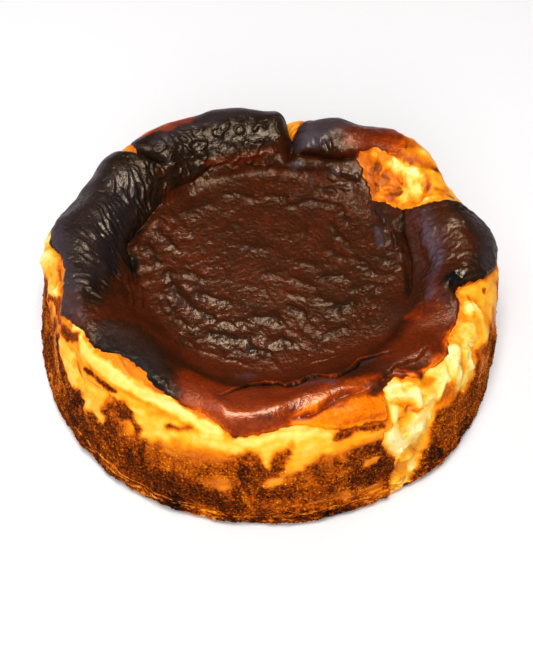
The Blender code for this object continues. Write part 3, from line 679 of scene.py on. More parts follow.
def ramp(tree, share, colours):
    made = node(tree, "ShaderNodeValToRGB", Fac=share)
    while len(made.color_ramp.elements) < len(colours):
        made.color_ramp.elements.new(0.5)
    for element, (place, code) in zip(made.color_ramp.elements, colours):
        element.position = place
        element.color = linear(code)
    return made.outputs["Color"]


def sums(tree, operation, first, second, third=None):
    made = tree.nodes.new("ShaderNodeMath")
    made.operation = operation
    for k, value in enumerate((first, second, third)):
        if isinstance(value, bpy.types.NodeSocket):
            tree.links.new(value, made.inputs[k])
        elif value is not None:
            made.inputs[k].default_value = value
    return made.outputs[0]


def attribute(tree, name):
    made = tree.nodes.new("ShaderNodeAttribute")
    made.attribute_name = name
    return made.outputs["Fac"]


def noise(tree, size, detail=2.0):
    """Noise about 0, from about -0.5 to 0.5, whose lumps are this many metres across."""
    place = tree.nodes.new("ShaderNodeTexCoord").outputs["Object"]
    made = node(tree, "ShaderNodeTexNoise", Vector=place, Scale=1 / size, Detail=detail)
    return sums(tree, "SUBTRACT", made.outputs["Fac"], 0.5)


def bumped(tree, height, distance):
    return node(tree, "ShaderNodeBump", Height=height, Distance=distance, Strength=1.0).outputs["Normal"]


def grains(tree, size):
    """Distance from the middle of the nearest grain, in grains of this size."""
    place = tree.nodes.new("ShaderNodeTexCoord").outputs["Object"]
    return node(tree, "ShaderNodeTexVoronoi", Vector=place, Scale=1 / size).outputs["Distance"]


# How fine the finish is, and each of its qualities on bare custard and what toasting adds to it
SPECKLE_SIZE = 0.0009
CLOUD_SIZE = 0.0045
GRAIN_SIZE = 0.0013
PIT_SIZE = 0.0007
BUMP_HEIGHT = 0.0006
SPECKLE = (0.05, 0.34)
ROUGHNESS = (0.46, 0.24)
SPECULAR = (0.14, -0.08)
PITS = (0.2, 0.6)
CLOUD = 0.10
# how much darker the gaps between the crust's grains are: partly their own colour, partly painted shade
GAPS_DARKER = 0.30
SUBSURFACE = 0.22
SUBSURFACE_RADIUS = (1.0, 0.5, 0.2)
SUBSURFACE_DEPTH = 0.003


def graded(tree, share, quality):
    """A quality's first number, and its second one by this share."""
    return sums(tree, "MULTIPLY_ADD", share, quality[1], quality[0])


def baked_custard():
    """Set custard and its toasted crust in one finish, told apart by how baked each place is."""
    material = bpy.data.materials.new("baked_custard")
    material.use_nodes = True
    tree = material.node_tree
    shader = tree.nodes["Principled BSDF"]
    baked, toasted = attribute(tree, "baked"), attribute(tree, "toasted")
    speckle = sums(tree, "MULTIPLY", noise(tree, SPECKLE_SIZE), graded(tree, toasted, SPECKLE))
    cloud = sums(tree, "MULTIPLY", noise(tree, CLOUD_SIZE), CLOUD)
    grain = grains(tree, GRAIN_SIZE)
    # the gaps between the crust's grains are painted darker: partly their own colour, partly painted shade
    gaps = sums(tree, "MULTIPLY", toasted, GAPS_DARKER)
    gaps = sums(tree, "MULTIPLY", sums(tree, "SUBTRACT", grain, 0.42), gaps)
    level = sums(tree, "ADD", sums(tree, "ADD", baked, speckle), sums(tree, "ADD", cloud, gaps))
    tree.links.new(ramp(tree, level, BAKED_COLOURS), shader.inputs["Base Color"])
    tree.links.new(graded(tree, toasted, ROUGHNESS), shader.inputs["Roughness"])
    tree.links.new(graded(tree, toasted, SPECULAR), shader.inputs["Specular IOR Level"])
    pits = sums(tree, "MULTIPLY", noise(tree, PIT_SIZE, 3.0), graded(tree, toasted, PITS))
    pits = sums(tree, "SUBTRACT", pits, sums(tree, "MULTIPLY", grain, toasted))
    tree.links.new(bumped(tree, pits, BUMP_HEIGHT), shader.inputs["Normal"])
    shader.inputs["Subsurface Weight"].default_value = SUBSURFACE
    shader.inputs["Subsurface Radius"].default_value = SUBSURFACE_RADIUS
    shader.inputs["Subsurface Scale"].default_value = SUBSURFACE_DEPTH
    return material


BAKED_CUSTARD = baked_custard()
CORE_HEIGHT = 0.034     # where the layers meet inside the cake
bare_rings = surface_rings(ROUND, BARE_START, BARE_END, 0.00074)
bare_rings += [(ROUND >> 1, BARE_END, (0.104, CORE_HEIGHT)), (ROUND >> 1, BARE_START, (0.062, CORE_HEIGHT))]
bare_custard = layer("bare_custard", bare_rings, custard_lift, True, custard_paints)
bare_custard.data.materials.append(BAKED_CUSTARD)
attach(bare_custard, "root")
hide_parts("cheesecake")

# The toasted side. Where the batter touched the paper of the tin it set into a thin grainy crust,
# browned unevenly, with the paper's crease printed in it and pale flaky layers along the foot. It is
# one closed layer from the custard band down to the flat foot, and it closes the cake underneath.
SIDE_STEP = 0.00056
side_rings = [(1, BARE_END, (0.0, 0.020)), (ROUND >> 3, BARE_END, (0.060, 0.020)),
              (ROUND >> 2, BARE_END, (0.090, 0.024)), (ROUND >> 1, BARE_END, (0.104, CORE_HEIGHT))]
side_rings += surface_rings(ROUND, BARE_END, WHOLE_REACH, SIDE_STEP)
side_rings += [(ROUND >> 1, WHOLE_REACH, (0.1120, 0.0)), (ROUND >> 2, WHOLE_REACH, (0.1080, 0.0)),
               (ROUND >> 3, WHOLE_REACH, (0.0900, 0.0)), (1, WHOLE_REACH, (0.0, 0.0))]
toasted_side = layer("toasted_side", side_rings, custard_lift, False, custard_paints)
toasted_side.data.materials.append(BAKED_CUSTARD)
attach(toasted_side, "root")
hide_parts("cheesecake")

# The crumbs of the toasted side. The crust is a coat of browned grains, lighter on top, which stand
# up from it all round: they are strewn by how toasted each place is, at about a millimetre across.
CRUMB_KINDS = (
    # name, grains a square metre, smallest, largest, least and most lighter than the crust, seed
    ("toasted_crumbs", 340000, 0.0009, 0.0017, -0.13, 0.14, 5),
    ("golden_crumbs", 290000, 0.0008, 0.0014, -0.02, 0.22, 8),
)
CRUMB_SQUASH = 0.7


def linked(tree, source, output, target, key):
    """Links an output of one node to an input of another."""
    tree.links.new(source.outputs[output], target.inputs[key])


def crumb_nodes():
    """Geometry nodes: grains strewn over a surface, each with the crust's baked level made lighter."""
    tree = bpy.data.node_groups.new("strewn_crumbs", "GeometryNodeTree")
    tree.interface.new_socket("Geometry", in_out="OUTPUT", socket_type="NodeSocketGeometry")
    for name, kind in (("Surface", "Object"), ("Per Area", "Float"), ("Smallest", "Float"),
                       ("Largest", "Float"), ("Least Lighter", "Float"), ("Most Lighter", "Float"),
                       ("Seed", "Int"), ("Finish", "Material")):
        tree.interface.new_socket(name, in_out="INPUT", socket_type="NodeSocket" + kind)
    given = tree.nodes.new("NodeGroupInput")
    surface = tree.nodes.new("GeometryNodeObjectInfo")
    linked(tree, given, "Surface", surface, "Object")
    crumbly = node(tree, "GeometryNodeInputNamedAttribute", Name="crumbly")
    baked = node(tree, "GeometryNodeInputNamedAttribute", Name="baked")
    density = sums(tree, "MULTIPLY", crumbly.outputs["Attribute"], given.outputs["Per Area"])
    strewn = node(tree, "GeometryNodeDistributePointsOnFaces", Density=density)
    linked(tree, surface, "Geometry", strewn, "Mesh")
    linked(tree, given, "Seed", strewn, "Seed")
    grain = node(tree, "GeometryNodeMeshUVSphere", Radius=0.5, Segments=4, Rings=2)
    size = tree.nodes.new("FunctionNodeRandomValue")
    linked(tree, given, "Smallest", size, 2)
    linked(tree, given, "Largest", size, 3)
    linked(tree, given, "Seed", size, "Seed")
    flat = node(tree, "ShaderNodeCombineXYZ", X=1.0, Y=1.0, Z=CRUMB_SQUASH)
    scale = tree.nodes.new("ShaderNodeVectorMath")
    scale.operation = "SCALE"
    linked(tree, flat, 0, scale, 0)
    linked(tree, size, 1, scale, "Scale")
    on_points = tree.nodes.new("GeometryNodeInstanceOnPoints")
    linked(tree, strewn, "Points", on_points, "Points")
    linked(tree, grain, "Mesh", on_points, "Instance")
    linked(tree, strewn, "Rotation", on_points, "Rotation")
    linked(tree, scale, "Vector", on_points, "Scale")
    tint = tree.nodes.new("FunctionNodeRandomValue")
    linked(tree, given, "Least Lighter", tint, 2)
    linked(tree, given, "Most Lighter", tint, 3)
    tint.inputs["Seed"].default_value = 3
    lighter = sums(tree, "SUBTRACT", baked.outputs["Attribute"], tint.outputs[1])
    painted = tree.nodes.new("GeometryNodeStoreNamedAttribute")
    painted.domain = "INSTANCE"
    painted.inputs["Name"].default_value = "baked"
    linked(tree, on_points, "Instances", painted, "Geometry")
    tree.links.new(lighter, painted.inputs["Value"])
    real = tree.nodes.new("GeometryNodeRealizeInstances")
    linked(tree, painted, "Geometry", real, "Geometry")
    finished = tree.nodes.new("GeometryNodeSetMaterial")
    linked(tree, real, "Geometry", finished, "Geometry")
    linked(tree, given, "Finish", finished, "Material")
    result = tree.nodes.new("NodeGroupOutput")
    linked(tree, finished, "Geometry", result, "Geometry")
    return tree


def strewn(name, tree, values):
    """A piece made by geometry nodes from these named inputs, as a plain mesh."""
    piece = bpy.data.objects.new(name, bpy.data.meshes.new(name))
    bpy.context.scene.collection.objects.link(piece)
    modifier = piece.modifiers.new("strewn", "NODES")
    modifier.node_group = tree
    for socket in tree.interface.items_tree:
        if socket.in_out == "INPUT":
            modifier[socket.identifier] = values[socket.name]
    evaluated = piece.evaluated_get(bpy.context.evaluated_depsgraph_get())
    made = bpy.data.meshes.new_from_object(evaluated)
    piece.modifiers.clear()
    piece.data = made
    made.name = name
    made.shade_smooth()
    return piece


CRUMB_NODES = crumb_nodes()
for name, per_area, smallest, largest, least, most, seed in CRUMB_KINDS:
    crumbs = strewn(name, CRUMB_NODES, {
        "Surface": toasted_side, "Per Area": float(per_area), "Smallest": smallest, "Largest": largest,
        "Least Lighter": least, "Most Lighter": most, "Seed": seed, "Finish": BAKED_CUSTARD})
    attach(crumbs, "root")
    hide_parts("cheesecake")

# The burnt skin of the rim. The top of the risen rim dried into a thin leathery skin, charred on the
# lobes and red-brown in front, wrinkled as it sank, and torn along its outer edge, where it ends in a
# rolled lip over the custard. It is laid as an inner and an outer ring, because it is so fine.
SKIN_START = 0.0680
SKIN_MIDDLE = 0.0955
SKIN_END = 0.1240
SKIN_STEP = 0.00042
SKIN_LIFT = 0.0008
THICK_SKIN = (
    (17, 0.096, 9, 0.016, 0.0034),  # the right lobe ends in a thick roll
    (0, 0.11, 12, 0.012, 0.0022),
    (66, 0.096, 8, 0.014, 0.0012),
    (178, 0.114, 14, 0.01, 0.0018),
    (268, 0.11, 20, 0.008, 0.0008),
    (296, 0.11, 10, 0.01, 0.0016),
    (325, 0.104, 14, 0.009, 0.0016),
)
FOLDS = (
    (((252, 0.0912), (256.4, 0.0966), (261, 0.103), (267.8, 0.1025), (273.4, 0.0995), (278.2, 0.0956),
     (283.6, 0.0917), (289.2, 0.0905), (295.2, 0.0925)), 0.006, 0.0026),
    (((286, 0.1052), (292, 0.1052), (299, 0.106)), 0.0052, 0.0016),
    (((308, 0.093), (314, 0.0925), (320, 0.096), (328, 0.099)), 0.0042, 0.0016),
    (((350, 0.0925), (345, 0.095), (340, 0.0975)), 0.0032, 0.0014),
)
LIP_WIDTH = 0.0013
ROLL_WIDTH = 0.0034
LOBE_SLANT = 380        # degrees round per metre out that the left lobe's wrinkles slant

# The crack where the sunken top broke from the front fold: its line, and how proud its inner lip is
CRACK = ((255, 0.0950), (258, 0.0925), (261, 0.0840), (265, 0.0740), (270, 0.0682), (275, 0.0700),
         (277, 0.0780), (281, 0.0750), (287, 0.0715), (290.5, 0.0715), (292.5, 0.0815), (297, 0.0805),
         (302, 0.0790), (308, 0.0725), (312, 0.0790), (316, 0.0860))
CRACK_LIP = 0.0012
CRACK_DROP = 0.0019

# Thin creases and ridges in the skin: line of places, half-width, height
SKIN_CREASES = (
    (((29, 0.0836), (28.2, 0.0786), (24.2, 0.0734), (18.2, 0.0716), (11.8, 0.0706), (1.0, 0.0682),
     (346.4, 0.0705)), 0.0011, -0.0009),
    (((154.8, 0.069), (161.2, 0.07), (169.4, 0.071), (176.8, 0.0675), (183.4, 0.0652), (190, 0.0645)),
     0.001, -0.001),
    (((72.2, 0.0892), (69.2, 0.0845)), 0.0009, -0.001),
    (((70.2, 0.0905), (67.4, 0.0836)), 0.0008, 0.0009),
    (((67.6, 0.088), (65.4, 0.083)), 0.0008, -0.0009),
    (((64.6, 0.0875), (63.0, 0.085)), 0.0009, 0.0009),
    (((76.0, 0.0905), (74.6, 0.086)), 0.0009, -0.0008),
    (((74.0, 0.091), (72.4, 0.086)), 0.0009, 0.0008),
    (((353.0, 0.076), (340.6, 0.0831), (334.2, 0.0863)), 0.0009, -0.0006),
    (((116, 0.0785), (107, 0.077), (100, 0.078), (92, 0.08)), 0.0012, 0.001),
    (((59.4, 0.09), (61, 0.0866), (64, 0.0836), (70, 0.0812), (76, 0.081), (82, 0.0802)), 0.0009, -0.0012),
    (((278, 0.1034), (283.8, 0.1022), (286.8, 0.0998), (289.6, 0.0976), (292.8, 0.0978), (296, 0.0981),
     (301, 0.0983)), 0.0014, -0.0011),
    (((290, 0.1088), (296, 0.1094), (301, 0.1104)), 0.0007, -0.0006),
    (((236, 0.059), (250, 0.0565), (262, 0.0575)), 0.0007, 0.0006),
    (((286, 0.059), (296, 0.0575), (306, 0.06)), 0.0007, 0.0005),
    (((322.6, 0.053), (334, 0.054), (342, 0.056)), 0.0008, -0.0008),
    (((178, 0.0665), (188, 0.064), (198, 0.064), (206, 0.068)), 0.001, 0.001),
    (((184, 0.071), (194, 0.069), (204, 0.072)), 0.0009, 0.0009),
    (((352.6, 0.0951), (351.0, 0.0981)), 0.001, -0.0012),
    (((349.4, 0.0936), (347.4, 0.0966)), 0.001, 0.0012),
)

# Soft blisters of the sunken top: line of places, half-width, height
RIDGES = (
    (((205, 0.0022), (14.4, 0.0086)), 0.0024, 0.0004),
    (((128.4, 0.0226), (96.8, 0.0167)), 0.0026, 0.0004),
    (((346.8, 0.012), (340.4, 0.0243)), 0.0022, 0.0006),
    (((357, 0.0275), (0.8, 0.0374)), 0.002, 0.0009),
    (((28.4, 0.017), (14, 0.0275)), 0.0024, 0.0004),
    (((326.2, 0.0393), (338.4, 0.0442)), 0.003, 0.0011),
    (((260.2, 0.029), (278, 0.0288)), 0.0032, 0.0011),
    (((295.8, 0.0233), (304.2, 0.0297)), 0.0021, 0.0009),
    (((235.6, 0.0472), (246, 0.0446), (257.4, 0.0433)), 0.0026, 0.001),
    (((275, 0.0433), (283.4, 0.0435)), 0.0024, 0.0009),
    (((246.2, 0.0342), (261.8, 0.0332)), 0.002, 0.0006),
    (((202.6, 0.0376), (213, 0.0322), (225, 0.0275)), 0.002, 0.0008),
    (((212.2, 0.044), (228.2, 0.0398)), 0.0022, 0.0009),
    (((182.6, 0.0499), (199, 0.0474), (210.2, 0.0433)), 0.0026, 0.001),
    (((167.6, 0.0637), (175.6, 0.0558)), 0.002, 0.0009),
    (((157.6, 0.0609), (162.4, 0.0504)), 0.002, 0.0007),
    (((109.4, 0.0578), (102, 0.0521)), 0.0018, 0.0007),
    (((114.8, 0.059), (111.4, 0.0563)), 0.0018, 0.0007),
    (((78.6, 0.0482), (69, 0.0551), (55.2, 0.059), (44.6, 0.0548)), 0.0018, 0.0007),
    (((92.6, 0.0543), (83.8, 0.0538)), 0.0019, 0.0006),
    (((66.8, 0.0646), (60.8, 0.0654)), 0.0018, 0.0007),
    (((58.8, 0.0698), (54.6, 0.071)), 0.0018, 0.0009),
    (((60.6, 0.0774), (54.8, 0.0796)), 0.0022, 0.0011),
    (((48.4, 0.0464), (35.6, 0.0445), (25, 0.046)), 0.0018, 0.0006),
    (((31.8, 0.0637), (21.6, 0.06)), 0.0018, 0.0007),
    (((38.2, 0.071), (32.4, 0.069)), 0.0016, 0.0009),
    (((306.2, 0.0457), (317.8, 0.0484)), 0.002, 0.0007),
    (((234, 0.0386), (244.4, 0.0374)), 0.0018, 0.0006),
    (((220, 0.0415), (234.8, 0.0391)), 0.0016, 0.0006),
    (((75.6, 0.0263), (59.4, 0.0339)), 0.0026, 0.0003),
    (((119.8, 0.0364), (134.6, 0.0369)), 0.0024, 0.0003),
    (((139.6, 0.0602), (125.4, 0.0563)), 0.003, 0.0005),
    (((33, 0.0334), (19.4, 0.0383)), 0.0022, 0.0005),
    (((14.8, 0.0457), (3.6, 0.0521)), 0.0022, 0.0007),
    (((12.2, 0.0587), (7.2, 0.064)), 0.0026, 0.0006),
    (((215.6, 0.0135), (260.8, 0.0108)), 0.0022, 0.0003),
    (((307.6, 0.0165), (321.6, 0.0226)), 0.002, 0.0005),
    (((328.4, 0.027), (331.2, 0.0351)), 0.0022, 0.0006),
    (((191, 0.0339), (179.8, 0.0428)), 0.002, 0.0006),
    (((262, 0.0479), (271, 0.0489)), 0.0016, 0.0009),
    (((349.4, 0.042), (353.6, 0.0482)), 0.0018, 0.0006),
    (((202.4, 0.0531), (215.6, 0.0531), (226.2, 0.0506)), 0.0016, 0.0006),
    (((90.6, 0.0767), (88.4, 0.0767)), 0.0018, 0.0008),
    (((86.8, 0.0745), (84.4, 0.074)), 0.0018, 0.0008),
    (((81.6, 0.075), (77.4, 0.0747)), 0.0024, 0.0009),
    (((75.8, 0.0745), (73, 0.075)), 0.0018, 0.0009),
    (((70.4, 0.0769), (68.4, 0.0786)), 0.0018, 0.0008),
    (((62, 0.0838), (58.2, 0.0831)), 0.0018, 0.0009),
    (((65.6, 0.0646), (61.8, 0.0654)), 0.002, 0.0008),
    (((64, 0.0772), (62, 0.0759)), 0.002, 0.0008),
    (((65.2, 0.0732), (63, 0.073)), 0.0016, 0.0007),
    (((1, 0.0597), (6.8, 0.066)), 0.002, 0.0005),
    (((39.8, 0.073), (34.6, 0.0718), (28.4, 0.0722)), 0.0022, 0.0009),
    (((32.8, 0.0671), (27, 0.065), (22, 0.0639)), 0.002, 0.0008),
    (((23.6, 0.0695), (19, 0.0682), (16.6, 0.0668)), 0.0016, 0.001),
    (((13, 0.068), (15.6, 0.063)), 0.0016, 0.0005),
    (((151.4, 0.079), (149.2, 0.076), (150, 0.0725)), 0.0016, 0.0009),
    (((157, 0.0745), (155, 0.0715)), 0.0018, 0.0009),
    (((144.2, 0.076), (143, 0.0715)), 0.0018, 0.0009),
    (((164, 0.0725), (168, 0.069)), 0.0018, 0.0008),
    (((175, 0.07), (177, 0.0655)), 0.0017, 0.0005),
    (((355.2, 0.0553), (350.4, 0.0519), (345, 0.0503)), 0.0014, 0.0006),
)

# How burnt the skin is, from 0, orange, to 1, black char, with a few strokes of painted shade along creases:
# line of places, half-width, softness, level
BURNING_AND_SHADE = (
    # left lobe and the browner skin below it
    (((206, 0.096), (211, 0.088), (210, 0.076), (205, 0.069)), 0.012, 0.01, 0.56),
    (((199, 0.0985), (190, 0.096), (176, 0.094), (160, 0.094), (146, 0.095), (139, 0.096)),
     0.019, 0.009, 0.83),
    (((186, 0.08), (172, 0.085), (160, 0.087), (148, 0.088)), 0.006, 0.008, 0.92),
    (((181, 0.069), (169, 0.0745), (158, 0.0745), (146, 0.075), (140, 0.079)), 0.0046, 0.004, 0.84),
    (((200, 0.104), (206, 0.102)), 0.007, 0.006, 0.62),
    (((214, 0.099), (218, 0.09), (224, 0.085), (231, 0.088)), 0.0095, 0.006, 0.7),
    (((216, 0.1025), (222, 0.0975), (230, 0.092), (238, 0.0945), (243, 0.0985)), 0.008, 0.005, 0.79),
    (((219, 0.1045), (224, 0.0975), (229, 0.0948), (234, 0.0955), (240, 0.1)), 0.002, 0.003, 0.95),
    (((228, 0.078), (233, 0.085), (238, 0.091)), 0.005, 0.01, 0.74),
    # back-left lobe and the red strip at its foot
    (((136, 0.096), (120, 0.098), (105, 0.099), (92, 0.096)), 0.018, 0.008, 0.84),
    (((136, 0.079), (126, 0.079), (116, 0.08)), 0.005, 0.005, 0.8),
    (((118, 0.079), (107, 0.0772), (100, 0.078), (92, 0.0802), (86, 0.082)), 0.0018, 0.002, 0.5),
    (((130.5, 0.1078), (125.5, 0.1052), (120.4, 0.106), (114, 0.109)), 0.0044, 0.003, 0.34),
    (((132, 0.112), (124, 0.1112), (112, 0.115)), 0.0046, 0.004, 0.15),
    # back-right lobe, charred at the cleft and golden towards the hollow
    (((83, 0.094), (76, 0.096), (70, 0.1), (64, 0.106)), 0.014, 0.008, 0.76),
    (((67, 0.0985), (62, 0.099), (56, 0.102), (52, 0.105)), 0.0076, 0.009, 0.44),
    (((62.4, 0.095), (56.4, 0.0961), (52.2, 0.0983)), 0.003, 0.006, 0.4),
    (((54, 0.0995), (50, 0.101), (48.0, 0.105)), 0.0036, 0.008, 0.3),
    (((49.6, 0.0985), (47.6, 0.102), (48.6, 0.106)), 0.0018, 0.005, 0.21),
    (((66, 0.115), (58, 0.113), (52, 0.1095)), 0.003, 0.006, 0.3),
    # right lobe: dark margin, black tip
    (((24, 0.09), (15, 0.097), (5, 0.098), (356, 0.096), (349, 0.093)), 0.019, 0.008, 0.6),
    (((20, 0.101), (13, 0.107), (6, 0.112), (358, 0.11), (352, 0.104)), 0.007, 0.006, 0.79),
    (((353, 0.0965), (349, 0.0935), (350, 0.0985)), 0.0036, 0.003, 0.98),
    (((21.2, 0.0821), (15, 0.085)), 0.004, 0.006, 0.56),
    # painted shade: dark lines along the creases where the right and left lobes meet the sunken top
    (((29, 0.0836), (28.2, 0.0786), (24.2, 0.0734), (18.2, 0.0716), (11.8, 0.0706), (1.0, 0.0682),
     (350, 0.069)), 0.0009, 0.0015, 0.82),
    (((154.8, 0.069), (161.2, 0.07), (169.4, 0.071), (176.8, 0.0675), (183.4, 0.0652)), 0.0009, 0.002, 0.9),
    (((354, 0.0815), (347, 0.0845), (339, 0.0845)), 0.006, 0.008, 0.49),
    (((18, 0.074), (5, 0.073), (350, 0.076), (340, 0.077)), 0.005, 0.006, 0.62),
    (((350, 0.096), (346, 0.0972), (342.5, 0.099)), 0.002, 0.0026, 0.96),
    # red-brown skin of the front right, orange at its edge
    (((338, 0.085), (330, 0.094), (322, 0.092), (315, 0.086)), 0.013, 0.009, 0.44),
    (((336.8, 0.074), (336.4, 0.0784), (334.0, 0.0845)), 0.0024, 0.004, 0.34),
    (((333, 0.1012), (330, 0.102), (325, 0.1066), (319, 0.105), (314, 0.104), (311, 0.0975)),
     0.0018, 0.004, 0.18),
    (((310.6, 0.0975), (311.4, 0.1005)), 0.0012, 0.003, 0.5),
    (((314.6, 0.1045), (315.2, 0.107)), 0.0016, 0.0024, 0.5),
    # slope and front fold
    (((236, 0.064), (256, 0.062), (272, 0.06), (290, 0.06), (308, 0.062), (324, 0.066)),
     0.008, 0.008, 0.52),
    (((246, 0.086), (256, 0.094), (264, 0.096), (272, 0.09), (280, 0.086), (292, 0.086)),
     0.012, 0.01, 0.36),
    (((256, 0.1), (263.4, 0.104), (271.4, 0.1007), (279.6, 0.0967), (288, 0.093)), 0.003, 0.007, 0.29),
    (((250, 0.101), (257, 0.104), (264, 0.108)), 0.005, 0.006, 0.29),
    (((262, 0.1098), (270, 0.108), (278, 0.1037), (284, 0.1)), 0.0044, 0.005, 0.34),
    (((283, 0.097), (292, 0.095), (300, 0.094), (305, 0.0935)), 0.003, 0.006, 0.27),
    (((280, 0.1045), (287, 0.1055), (295, 0.1068), (303, 0.1085)), 0.008, 0.004, 0.08),
    (((286.8, 0.1), (291, 0.099), (300, 0.0996)), 0.0016, 0.003, 0.24),
    # painted shade: darker lines along the creases of the fold and its tongue
    (((278, 0.1034), (283.8, 0.1022), (286.8, 0.0998), (289.6, 0.0976), (294, 0.0979)),
     0.001, 0.0024, 0.34),
    (((287, 0.1092), (294, 0.1096), (301, 0.1108)), 0.001, 0.003, 0.17),
)

# Blue-grey ash and mauve bloom on the char, with painted sheen: the blue-violet streak on the right lobe's
# inner face is a painted reflection, and the bluish margins of the lobes and the mauve end of the back-right
# lobe are partly ash and partly painted reflection: line of places, half-width, softness, share
ASH_AND_SHEEN = (
    (((206, 0.104), (196, 0.103), (184, 0.105), (174, 0.109), (160, 0.111), (146, 0.109)),
     0.006, 0.006, 0.55),
    (((190, 0.09), (170, 0.09), (150, 0.092)), 0.014, 0.008, 0.22),
    (((130, 0.1), (118, 0.103), (104, 0.106), (92, 0.105)), 0.007, 0.006, 0.42),
    (((81, 0.086), (77, 0.091), (74, 0.0965), (79, 0.101)), 0.007, 0.006, 1.2),
    (((76, 0.0993), (71.8, 0.099), (66, 0.1)), 0.005, 0.006, 0.8),
    (((81.6, 0.075), (77.4, 0.0747)), 0.0026, 0.002, 0.8),
    (((64, 0.0772), (62, 0.0759)), 0.002, 0.002, 0.6),
    (((31.8, 0.0637), (21.6, 0.06)), 0.0018, 0.002, 0.7),
    # the blue-violet streak on the right lobe's inner face: a painted sheen
    (((20.8, 0.0875), (13.0, 0.086), (2.6, 0.086), (355.4, 0.0841), (344.0, 0.0845)), 0.0034, 0.006, 0.8),
    (((16, 0.106), (7, 0.112), (358, 0.111)), 0.005, 0.006, 0.45),
    (((214, 0.098), (220, 0.093), (228, 0.09), (238, 0.095)), 0.008, 0.006, 0.24),
    (((198, 0.105), (204, 0.104), (209, 0.102)), 0.003, 0.005, 0.5),
    (((255.8, 0.0624), (259.2, 0.0656), (264.6, 0.0627)), 0.0026, 0.003, 0.7),
    (((281.8, 0.0815), (285.8, 0.0812), (288.6, 0.085), (291, 0.0905)), 0.0028, 0.0016, 0.9),
    (((241, 0.0985), (250, 0.0985), (258, 0.096), (267, 0.09), (276, 0.086)), 0.008, 0.007, 0.1),
    (((307, 0.079), (311, 0.081)), 0.002, 0.003, 0.45),
)

# Where the skin shines: line of places, half-width, softness, share
SHINING = (
    (((134, 0.086), (122, 0.087), (112, 0.089), (103, 0.089), (94, 0.086), (86, 0.083)),
     0.007, 0.006, 0.52),
    (((63.2, 0.0983), (62.0, 0.1017), (57.8, 0.103)), 0.003, 0.003, 0.9),
    (((216, 0.098), (228, 0.091)), 0.008, 0.006, 0.08),
    (((80, 0.09), (72, 0.093), (68, 0.09)), 0.007, 0.006, 0.34),
    (((70.8, 0.089), (68.6, 0.085)), 0.0012, 0.0014, 0.9),
    (((66.6, 0.087), (64.6, 0.084)), 0.001, 0.0014, 0.9),
    (((57, 0.096), (47, 0.101)), 0.006, 0.004, 0.05),
    (((170, 0.074), (180, 0.069), (188, 0.065)), 0.004, 0.005, 0.1),
    (((30, 0.08), (24, 0.0735), (15, 0.071), (2, 0.0685)), 0.0024, 0.003, 0.0),
    (((278, 0.106), (284, 0.105), (302, 0.104)), 0.006, 0.004, 0.1),
    (((252, 0.102), (260, 0.108), (270, 0.107)), 0.004, 0.004, 0.2),
    (((320, 0.104), (338, 0.101)), 0.003, 0.004, 0.2),
    (((184, 0.088), (172, 0.09), (158, 0.092), (146, 0.093)), 0.008, 0.008, 0.62),
    (((216, 0.04), (238, 0.045), (262, 0.044), (284, 0.043)), 0.006, 0.008, 0.65),
    (((200, 0.043), (214, 0.036)), 0.005, 0.008, 0.55),
    (((62, 0.077), (52, 0.076)), 0.005, 0.005, 0.7),
    (((22, 0.092), (12, 0.097), (2, 0.098)), 0.01, 0.008, 0.55),
    (((21, 0.087), (13, 0.0855), (2.6, 0.0855), (355, 0.084), (344, 0.084)), 0.004, 0.005, 0.75),
    (((359, 0.101), (354, 0.099), (351, 0.0965)), 0.0036, 0.004, 0.95),
    (((254, 0.0985), (263.4, 0.104), (267.2, 0.1022), (271.4, 0.1007), (275.6, 0.0992), (279.6, 0.0967),
     (286, 0.093), (294, 0.093)), 0.0046, 0.008, 1.15),
    (((313.2, 0.0917), (316.4, 0.0932), (320, 0.0978)), 0.0036, 0.003, 0.95),
)
BURNT_COLOURS = (
    (0.00, "#F0900E"), (0.10, "#DC7208"), (0.22, "#AC4B08"), (0.34, "#80310B"), (0.46, "#5E260C"),
    (0.60, "#43200E"), (0.74, "#332012"), (0.88, "#221913"), (1.00, "#121012"),
)
ASH_AND_SHEEN_COLOUR = "#584E58"

# How burnt the skin is and how it shines before those strokes, and what darkens or lightens it, among them
# the painted light on the crack's lip and the painted shadow in its groove
BURNT_LEVEL = 0.59
SHINE_LEVEL = 0.30
BLISTER_DARKER = 130        # for each metre that a blister rises
PAINTED_LIP_LIGHT = 0.30
PAINTED_GROOVE_SHADOW = 0.34
EDGE_LIGHTER = 0.13
SKIN_STROKE_FRAYS = ((0.0080, 0.0026), (0.0024, 0.0010))

# How far out the blistered middle reaches: azimuth, reach
BLISTERED = (
    (0, 0.067), (15, 0.069), (30, 0.076), (45, 0.078), (60, 0.08), (75, 0.0775), (88, 0.076),
    (110, 0.0758), (128, 0.0772), (142, 0.0735), (150, 0.0708), (162, 0.0706), (176, 0.068), (184, 0.0655),
    (200, 0.064), (225, 0.062), (250, 0.06), (290, 0.06), (320, 0.064), (345, 0.066), (360, 0.067),
)


def zone(azimuth, start, end, softness):
    """One between two azimuths, and zero outside them."""
    middle, half = (start + end) / 2, (end - start) / 2
    return smooth(0.5 + (half - np.abs(turn(azimuth - middle))) / softness)


def crack_side(azimuth, reach):
    """How far outside the crack's line a place is, and how open the crack is there."""
    bend, at = np.array(CRACK).T
    even = on_cake(azimuth, reach, np.zeros(azimuth.shape))
    line = np.interp(azimuth % 360, bend, at) + rough(even, ((0.0070, 0.0018), (0.0026, 0.0006)), SEED + 51)
    return reach - line, zone(azimuth % 360, bend[0] + 4, bend[-1] - 2, 8)


